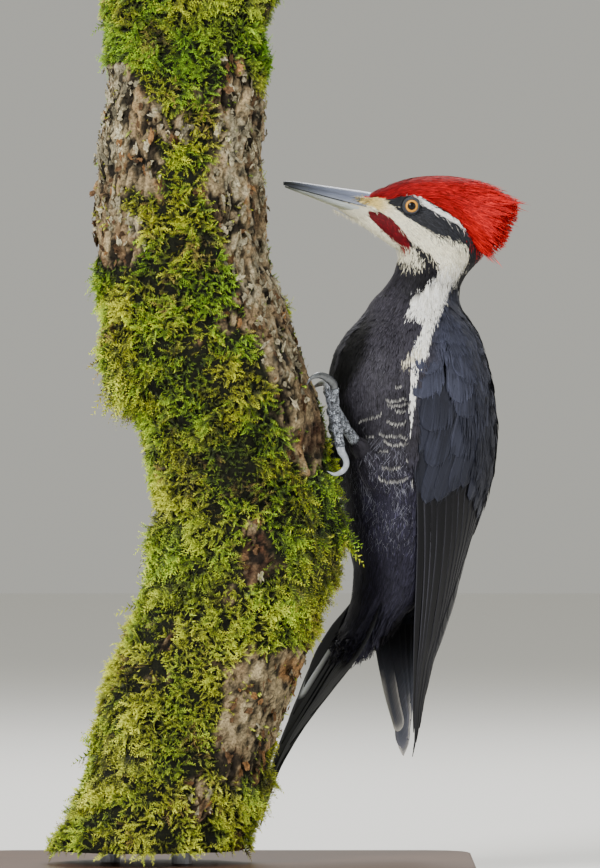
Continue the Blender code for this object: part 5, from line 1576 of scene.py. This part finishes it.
# Painted shade in the cracks, under low flakes and on sunken plates, with darker bark in patches: all towards
# near black.
shade_and_dark_bark = cracks * 1.2 + eased(0.0, -1.1, flakes) * 0.9 + eased(0.1, 0.5, 0.3 - stands[plate])
shade_and_dark_bark = np.clip(shade_and_dark_bark + 0.9 * eased(0.2, 0.55, noise(base * (1, 1, 0.6), 5, 53)), 0, 0.96)[:, None]
tint = tint * (1 - shade_and_dark_bark) + BARK_DARK * shade_and_dark_bark
# Painted shade: under the moss the bark is painted near black.
tint = tint * (1 - mossy[:, None]) + UNDER_MOSS_SHADE * (0.8 + 0.5 * noise(base, 2, 21))[:, None] * mossy[:, None]
faces = tube_faces(BARK_LEVELS, BARK_ANGLES)
patch = np.stack([grid_turn / BARK_ANGLES, grid_level / BARK_LEVELS], -1)
sawn = []
for level, row in ((LOG_FOOT, 0), (LOG_TOP, BARK_LEVELS - 1)):  # the sawn ends: a rim of bark round the wood
    middle = np.array((*log_axis(level), level))
    edge = row * BARK_ANGLES + np.arange(BARK_ANGLES)
    inside = middle + 0.9 * (bark[edge] - middle)
    ring = len(bark) + np.arange(BARK_ANGLES)
    bark = np.concatenate([bark, inside * (1, 1, 0) + (0, 0, level), [middle]])
    tint = np.concatenate([tint, np.tile(BARK_DARK * 1.6, (BARK_ANGLES + 1, 1))])
    patch = np.concatenate([patch, patch[edge], [(0.5, row / BARK_LEVELS)]])
    next_edge, next_ring = np.roll(edge, -1), np.roll(ring, -1)
    rim = np.concatenate([np.stack([edge, next_edge, next_ring], -1), np.stack([edge, next_ring, ring], -1)])
    fan = np.stack([np.full(BARK_ANGLES, ring[-1] + 1), ring, next_ring], -1)
    faces = np.concatenate([faces, rim if row else rim[:, ::-1]])
    sawn.append(fan if row else fan[:, ::-1])
whole = len(faces)
faces = np.concatenate([faces, *sawn])
bark_look, tree, shader = finish_of("bark", Roughness=0.88, Specular_IOR_Level=0.25)
tint_node = node(tree, "Attribute", {"attribute_name": "tint"})
place = node(tree, "TexCoord")
# The bark's own grain: flakes about 1 mm across over grit of 0.4 mm.
flake = node(tree, "TexNoise", {"Scale": 700.0, "Detail": 7.0, "Roughness": 0.75},
             {"Vector": place.outputs["Object"]})
spread = node(tree, "MapRange", {1: 0.34, 2: 0.66, 3: 0.25, 4: 1.8}, {0: flake.outputs["Fac"]})
mixed = node(tree, "Mix", {"data_type": "RGBA", "blend_type": "MULTIPLY", 0: 1.0},
             {6: tint_node.outputs["Color"], 7: spread.outputs[0]})
tree.links.new(mixed.outputs[2], shader.inputs["Base Color"])
bump = node(tree, "Bump", {"Strength": 1.0, "Distance": 0.0022}, {"Height": flake.outputs["Fac"]})
tree.links.new(bump.outputs["Normal"], shader.inputs["Normal"])
trunk_bark = piece("perch_bark", bark, faces, bark_look, np.clip(tint, 0, 1), patch)
# Sawn wood with a year's ring every 2.2 mm, round the log's own middle.
sawn_look, tree, shader = finish_of("sawn_wood", Roughness=0.75)
place = node(tree, "TexCoord")
centre = np.array((*log_axis(LOG_TOP), 0.0)) * MM
centred = node(tree, "Mapping", {"Location": tuple(-centre)}, {"Vector": place.outputs["Object"]})
rings = node(
    tree, "TexWave",
    {"wave_type": "RINGS", "rings_direction": "Z", "Scale": 143.0, "Distortion": 3.0, "Detail": 3.0,
     "Detail Scale": 0.3},
    {"Vector": centred.outputs["Vector"]},
)
ring_tone = node(tree, "Mix", {"data_type": "RGBA", 6: (*rgb("a07c4e"), 1), 7: (*rgb("cfae7e"), 1)},
                 {0: rings.outputs["Fac"]})
grime = node(tree, "TexNoise", {"Scale": 120.0, "Detail": 6.0}, {"Vector": place.outputs["Object"]})
dulled = node(tree, "MapRange", {1: 0.3, 2: 0.7, 3: 0.5, 4: 1.1}, {0: grime.outputs["Fac"]})
mixed = node(tree, "Mix", {"data_type": "RGBA", "blend_type": "MULTIPLY", 0: 1.0},
             {6: ring_tone.outputs[2], 7: dulled.outputs[0]})
tree.links.new(mixed.outputs[2], shader.inputs["Base Color"])
bump = node(tree, "Bump", {"Strength": 0.4, "Distance": 0.0004}, {"Height": rings.outputs["Fac"]})
tree.links.new(bump.outputs["Normal"], shader.inputs["Normal"])
trunk_bark.data.materials.append(sawn_look)
of_wood = (np.arange(len(faces)) >= whole).astype(np.int32)
trunk_bark.data.polygons.foreach_set("material_index", of_wood)
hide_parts("perch_log")

# ------------------------------------------------------------------ perch: moss
# Feathery moss: short leafy shoots in cushions, bright at the tips and painted dark towards the roots as
# shade between them, with longer wisps that hang. Each shoot grows out of the bark with a row of leaves along
# either side.
MOSS_SPACING = 2.25
LEAVES = 13  # on a shoot, besides the one at its end
# Where the shoots are long: x, height, reach sideways and up, on the front face.
LONG_MOSS = (
    (66, 222, 16, 34), (-60, 296, 16, 22), (52, 180, 14, 22), (-36, 190, 16, 26), (-62, 80, 20, 24),
    (-88, 60, 14, 18), (34, 372, 9, 16), (-70, 365, 12, 14), (20, 60, 16, 16),
)
number = int(ROUND * (LOG_TOP - LOG_FOOT) / MOSS_SPACING**2 * 1.45)
level, turn = rng.random(number) * (BARK_LEVELS - 2), rng.random(number) * BARK_ANGLES
place, angle = on_log(level, turn, 0.0)
cover = moss_cover(place, angle)
cushion = noise(place, 11, 22) + 0.45 * noise(place, 5, 46)
kept = (cover + rng.normal(0, 0.09, number) > 0.02) & (cushion + 0.25 * rng.normal(0, 1, number) > -0.75)
kept |= (rng.random(number) < 0.07) & (noise(place, 9, 49) > -0.1)
level, turn, place, angle, cover, cushion = (
    part[kept] for part in (level, turn, place, angle, cover, cushion)
)
count = len(place)
outward = np.stack([np.cos(angle), np.sin(angle), 0 * angle], -1)
around = np.stack([-np.sin(angle), np.cos(angle), 0 * angle], -1)
upward = np.tile((0.0, 0.0, 1.0), (count, 1))
hanging = np.clip(blobs(place, angle, LONG_MOSS), 0, 1)
length = (5.0 + 1.9 * cushion + 2.8 * rng.random(count) ** 2) * (1 + 1.3 * hanging * rng.random(count))
wisp = (rng.random(count) < 0.012) & (np.cos(angle) < -0.6)  # a few long ones at the left edge
length *= 1 + 0.9 * wisp
length = np.maximum(length, 2.4) * np.clip(0.5 + 1.2 * cover, 0.45, 1)
wind = 2.8 * noise(place, 9, 23) + rng.normal(0, 1.0, count)
droop = -0.2 - 1.7 * hanging
heading = unit(outward * (0.45 + 0.6 * rng.random(count))[:, None] + around * (np.sin(wind) * 0.9)[:, None]
               + upward * (np.cos(wind) * 0.8 + droop)[:, None])
bend = around * rng.normal(0, 1, count)[:, None] + upward * (rng.normal(0, 0.8, count) - 0.5)[:, None]
bend = unit(bend) * 0.6
root, _ = on_log(level, turn, -3.6 + 2.2 * cushion.clip(-1, 0.8))
side = unit(np.cross(heading, outward + 0.35 * rng.normal(0, 1, (count, 3))))
lift = unit(np.cross(side, heading))
s = np.linspace(0.14, 0.97, LEAVES)
curve = heading[:, None] * s[:, None] + bend[:, None] * (s**2)[:, None]
stem = root[:, None] + curve * length[:, None, None]
lean = unit(heading[:, None] + 2 * bend[:, None] * s[:, None])
sway = np.where(np.arange(LEAVES) % 2 == 0, 1.0, -1.0)  # to the one side and the other by turns
arm = side[:, None] * sway[:, None] + lift[:, None] * rng.normal(0.15, 0.35, (count, LEAVES, 1))
leaf = (0.75 + 0.35 * rng.random((count, LEAVES))) * np.sin(math.pi * (0.22 + 0.66 * s))
leaf = leaf * (0.26 * length + 0.35)[:, None]
tip = stem + (unit(arm) * 0.85 + lean * 0.6) * leaf[..., None]
wide = unit(np.cross(tip - stem, lift[:, None] + 0.2 * side[:, None])) * (0.16 + 0.15 * leaf)[..., None]
points = np.stack([stem - wide * 0.9, stem + wide * 0.9, tip], axis=2)
ends = np.stack([root - side * 0.28, root + side * 0.28, stem[:, -1] + lean[:, -1] * 1.1], axis=1)[:, None]
points = np.concatenate([points, ends], axis=1)
leaves = LEAVES + 1
hue = noise(place, 24, 24) + 0.6 * noise(place, 7, 25) + 0.15 * rng.normal(0, 1, count)
hue = eased(-0.5, 0.5, hue)[:, None]
fresh = rgb("e2e633") * (1 - hue) + rgb("9ccb12") * hue
sunlit = eased(300, 150, place[:, 2] + 1.2 * place[:, 0])[:, None]  # paler and yellower low on the left
fresh = (fresh * (1 - 0.4 * sunlit) + rgb("e2f04c") * 0.4 * sunlit) * (1 + 0.65 * sunlit)
dry = eased(0.45, 1.0, noise(place, 13, 26) + 0.3 * rng.normal(0, 1, count))[:, None]
fresh = fresh * (1 - dry) + rgb("b09648") * dry
dark = rgb("0d1203") * (1 - dry) + rgb("1a1007") * dry
# Greener on some cushions, deeper in shade where the shoots hang: x, height, reach sideways and up, how much.
lush = np.clip(blobs(place, angle, ((-18, 182, 24, 30), (10, 500, 40, 22), (-4, 478, 24, 14))), 0, 1)[:, None]
fresh = fresh * (1 - 0.55 * lush) + rgb("86d012") * 0.55 * lush
fresh = fresh * (1 + 0.3 * eased(290, 310, place[:, 2]) * eased(450, 430, place[:, 2]))[:, None]
shade_rows = ((-8, 250, 42, 26, 0.8), (52, 196, 20, 44, 0.6), (6, 120, 14, 40, 0.3))
shaded = np.clip(blobs(place, angle, shade_rows), 0, 1)
# Painted shade: each shoot darkens towards its root, more so low in the cushions; the tips are bright.
rise = np.concatenate([s, [0.6]])[None, :, None, None] * np.array([0.7, 0.7, 1.1])[:, None]
rise = rise * (0.86 + 0.32 * cushion.clip(-1, 1) - 0.14 * shaded)[:, None, None, None]
shine = rng.uniform(0.75, 1.25, (count, 1, 1, 1)) * rng.uniform(0.85, 1.15, (count, leaves, 1, 1))
contrast = (2.3 + np.maximum(hanging, shaded))[:, None, None, None]
bright = np.clip(1.26 * rise, 0, 1.3) ** contrast
tint = dark[:, None, None] + (fresh - dark)[:, None, None] * bright * shine
middle = np.stack([turn / BARK_ANGLES, level / BARK_LEVELS], -1)[:, None, None]
spot = np.stack(np.broadcast_arrays(np.concatenate([s, [0.5]])[:, None], (0.0, 0.5, 1.0)), -1)
patch = middle + PATCH * (spot - 0.5)
moss_look, tree, shader = finish_of("moss_leaf", Roughness=0.6, Specular_IOR_Level=0.3, Sheen_Weight=0.1)
colour = node(tree, "Attribute", {"attribute_name": "tint"})
tree.links.new(colour.outputs["Color"], shader.inputs["Base Color"])
order = np.argsort(place[:, 2])
parts = math.ceil(count * leaves / MOST_TRIANGLES)
for i in range(parts):
    some = order[count * i // parts : count * (i + 1) // parts]
    shoots = points[some].reshape(-1, 3)
    faces = np.arange(len(shoots)).reshape(-1, 3)
    made = piece(f"moss_{i + 1}", shoots, faces, moss_look, np.clip(tint[some], 0, 1).reshape(-1, 3),
                 patch[some].reshape(-1, 2))

# Scales and curls of bark and lichen lobes stand off the bare places: small cupped flakes.
count = 5200
level, turn = rng.random(count) * (BARK_LEVELS - 2), rng.random(count) * BARK_ANGLES
place, angle = on_log(level, turn, 0.0)
crusted = blobs(place, angle, LICHEN) * 0.9 + 0.4 * noise(place, 8, 12)
bare_here = moss_cover(place, angle) < 0.04
kept = bare_here & (rng.random(count) < 0.5 + 0.5 * eased(0.1, 0.5, crusted))
kept &= (place[:, 0] < 52) | (abs(place[:, 2] - 276) > 30)  # none under the toes
level, turn, place, angle, crusted = (part[kept] for part in (level, turn, place, angle, crusted))
count = len(place)
FLAKE = 5  # points along each side of a flake's own grid
u, v = np.meshgrid(np.linspace(-1, 1, FLAKE), np.linspace(-1, 1, FLAKE), indexing="ij")
outward = np.stack([np.cos(angle), np.sin(angle), 0 * angle], -1)
around = np.stack([-np.sin(angle), np.cos(angle), 0 * angle], -1)
tip_turn = math.pi / 2 + rng.normal(0, 0.6, count)[:, None]
first = around * np.cos(tip_turn) + np.array((0.0, 0.0, 1.0)) * np.sin(tip_turn)
first = unit(first + 0.28 * outward * rng.normal(0, 1, (count, 1)))
second = unit(np.cross(outward, first) + 0.45 * outward * rng.normal(0, 1, (count, 1)))
reach_u = np.exp(rng.normal(0.7, 0.45, count)).clip(0.8, 5.0)
reach_v = np.exp(rng.normal(0.4, 0.4, count)).clip(0.7, 3.0)
wavy = 1 + 0.28 * rng.normal(0, 1, (count, FLAKE, FLAKE))
cup = rng.uniform(-0.5, 0.9, count)[:, None, None] * (u**2 + v**2)
here = np.round(level).astype(int) * BARK_ANGLES + np.round(turn).astype(int) % BARK_ANGLES
root, _ = on_log(level, turn, np.minimum(out[here] + rng.uniform(0.2, 1.4, count), 1.6))
squeeze = 1 - 0.32 * (abs(u) * abs(v))
points = root[:, None, None] + first[:, None, None] * (u * squeeze * wavy * reach_u[:, None, None])[..., None]
points = points + second[:, None, None] * (v * squeeze * wavy * reach_v[:, None, None])[..., None]
points = points + outward[:, None, None] * cup[..., None]
a = np.arange(FLAKE**2).reshape(FLAKE, FLAKE)[:-1, :-1].ravel()
b = a + FLAKE
one = np.concatenate([np.stack([a, b, b + 1], -1), np.stack([a, b + 1, a + 1], -1)])
faces = (one + FLAKE**2 * np.arange(count)[:, None, None]).reshape(-1, 3)
pale = (crusted + 0.3 * rng.normal(0, 1, count) > 0.34)[:, None, None, None]
bare_tone = BARK_BROWN + (BARK_TAN - BARK_BROWN) * rng.random((count, 1, 1, 1)) ** 5
tint = np.where(pale, LICHEN_PALE * 0.92, bare_tone) * rng.uniform(0.3, 1.3, (count, 1, 1, 1))
tint = tint * (0.75 + 0.3 * np.maximum(abs(u), abs(v)))[:, :, None]
middle = np.stack([turn / BARK_ANGLES, level / BARK_LEVELS], -1)[:, None]
patch = middle + PATCH / 2 * np.stack([u.ravel(), v.ravel()], -1)
curls = piece("bark_curls", points.reshape(-1, 3), faces, bark_look, np.clip(tint, 0, 1).reshape(-1, 3),
              patch.reshape(-1, 2))

# ------------------------------------------------------------------ display stand
# A routed walnut board with a satin oil finish, and two brushed steel rods that run up into the log.
wood_look, tree, shader = finish_of("walnut_satin", Roughness=0.42, Coat_Weight=0.15, Coat_Roughness=0.3)
place = node(tree, "TexCoord")
# The board's rings are about 4 mm apart where they run out along its face.
long_grain = node(tree, "Mapping", {"Scale": (4.0, 60.0, 60.0)}, {"Vector": place.outputs["Object"]})
figure = node(tree, "TexNoise", {"Scale": 4.0, "Detail": 5.0, "Distortion": 0.6},
              {"Vector": long_grain.outputs["Vector"]})
# Pores of open grain, 0.3 mm across and a few millimetres long, drawn a little coarser.
pore_room = node(tree, "Mapping", {"Scale": (120.0, 1600.0, 1600.0)}, {"Vector": place.outputs["Object"]})
pores = node(tree, "TexNoise", {"Scale": 1.0, "Detail": 2.0}, {"Vector": pore_room.outputs["Vector"]})
tone = node(tree, "Mix", {"data_type": "RGBA", 6: (*rgb("3a2419"), 1), 7: (*rgb("6e4a32"), 1)},
            {0: figure.outputs["Fac"]})
dark_pore = node(tree, "MapRange", {1: 0.34, 2: 0.46, 3: 0.55, 4: 1.0}, {0: pores.outputs["Fac"]})
mixed = node(tree, "Mix", {"data_type": "RGBA", "blend_type": "MULTIPLY", 0: 1.0},
             {6: tone.outputs[2], 7: dark_pore.outputs[0]})
tree.links.new(mixed.outputs[2], shader.inputs["Base Color"])
bump = node(tree, "Bump", {"Strength": 0.15, "Distance": 0.0002}, {"Height": pores.outputs["Fac"]})
tree.links.new(bump.outputs["Normal"], shader.inputs["Normal"])
steel_look, tree, shader = finish_of("steel_brushed", Metallic=1.0, Roughness=0.32,
                                     Base_Color=(*rgb("8e9094"), 1))
place = node(tree, "TexCoord")
turned = node(tree, "Mapping", {"Scale": (1.0, 1.0, 40.0)}, {"Vector": place.outputs["Object"]})
lines = node(tree, "TexNoise", {"Scale": 300.0, "Detail": 2.0}, {"Vector": turned.outputs["Vector"]})
rough = node(tree, "MapRange", {3: 0.24, 4: 0.42}, {0: lines.outputs["Fac"]})
tree.links.new(rough.outputs[0], shader.inputs["Roughness"])
for name, look in (("stand_base", wood_look), ("stand_rod_1", steel_look), ("stand_rod_2", steel_look)):
    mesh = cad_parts[name].data
    mesh.materials.clear()
    mesh.materials.append(look)

# ------------------------------------------------------------------ camera, lights and floor
CAMERA_AIM = (0.0472, 0.0, 0.263)
CAMERA_AWAY = 5.0  # so far off, with so long a lens, that the picture has hardly any perspective
FRAME_TALL = 0.5121  # height of the picture at the bird, in metres
camera = bpy.data.cameras.new("camera")
camera.lens = 36 * CAMERA_AWAY / FRAME_TALL
camera.clip_start, camera.clip_end = 0.1, 100
eye = bpy.data.objects.new("camera", camera)
eye.location = (CAMERA_AIM[0], CAMERA_AIM[1] - CAMERA_AWAY, CAMERA_AIM[2])
eye.rotation_euler = (math.pi / 2, 0, 0)
bpy.context.scene.collection.objects.link(eye)
bpy.context.scene.camera = eye

# A pale card floor, wide enough to look endless, under three large soft lights.
floor_look, tree, shader = finish_of("pale_card", Roughness=0.9, Base_Color=(*rgb("f3f2ee"), 1))
FLOOR_REACH, FLOOR_HEIGHT = 9000, -0.2
corners = np.array([(x, y, 0) for x, y in ((-1, -1), (1, -1), (1, 1), (-1, 1))]) * FLOOR_REACH
floor = piece("floor", corners + (0, 0, FLOOR_HEIGHT), [(0, 1, 2), (0, 2, 3)], floor_look)
for name, place, wide, power in (
    ("key", (-1.5, -2.3, 1.9), 0.9, 124.0),
    ("fill", (2.2, -1.8, 1.1), 1.6, 24.0),
    ("top", (0.4, 1.6, 2.4), 1.4, 66.0),
):
    lamp = bpy.data.lights.new(name, "AREA")
    lamp.energy, lamp.size = power, wide
    held = bpy.data.objects.new(name, lamp)
    held.location = place
    held.rotation_euler = (Vector(CAMERA_AIM) - Vector(place)).to_track_quat("-Z", "Y").to_euler()
    bpy.context.scene.collection.objects.link(held)
world = bpy.data.worlds.new("room")
bpy.context.scene.world = world
world.use_nodes = True
room_light = world.node_tree.nodes["Background"].inputs
room_light["Color"].default_value = (*rgb("c9c8c0"), 1)
room_light["Strength"].default_value = 0.8
floor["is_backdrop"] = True

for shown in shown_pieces():
    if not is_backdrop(shown):
        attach(shown, "root")
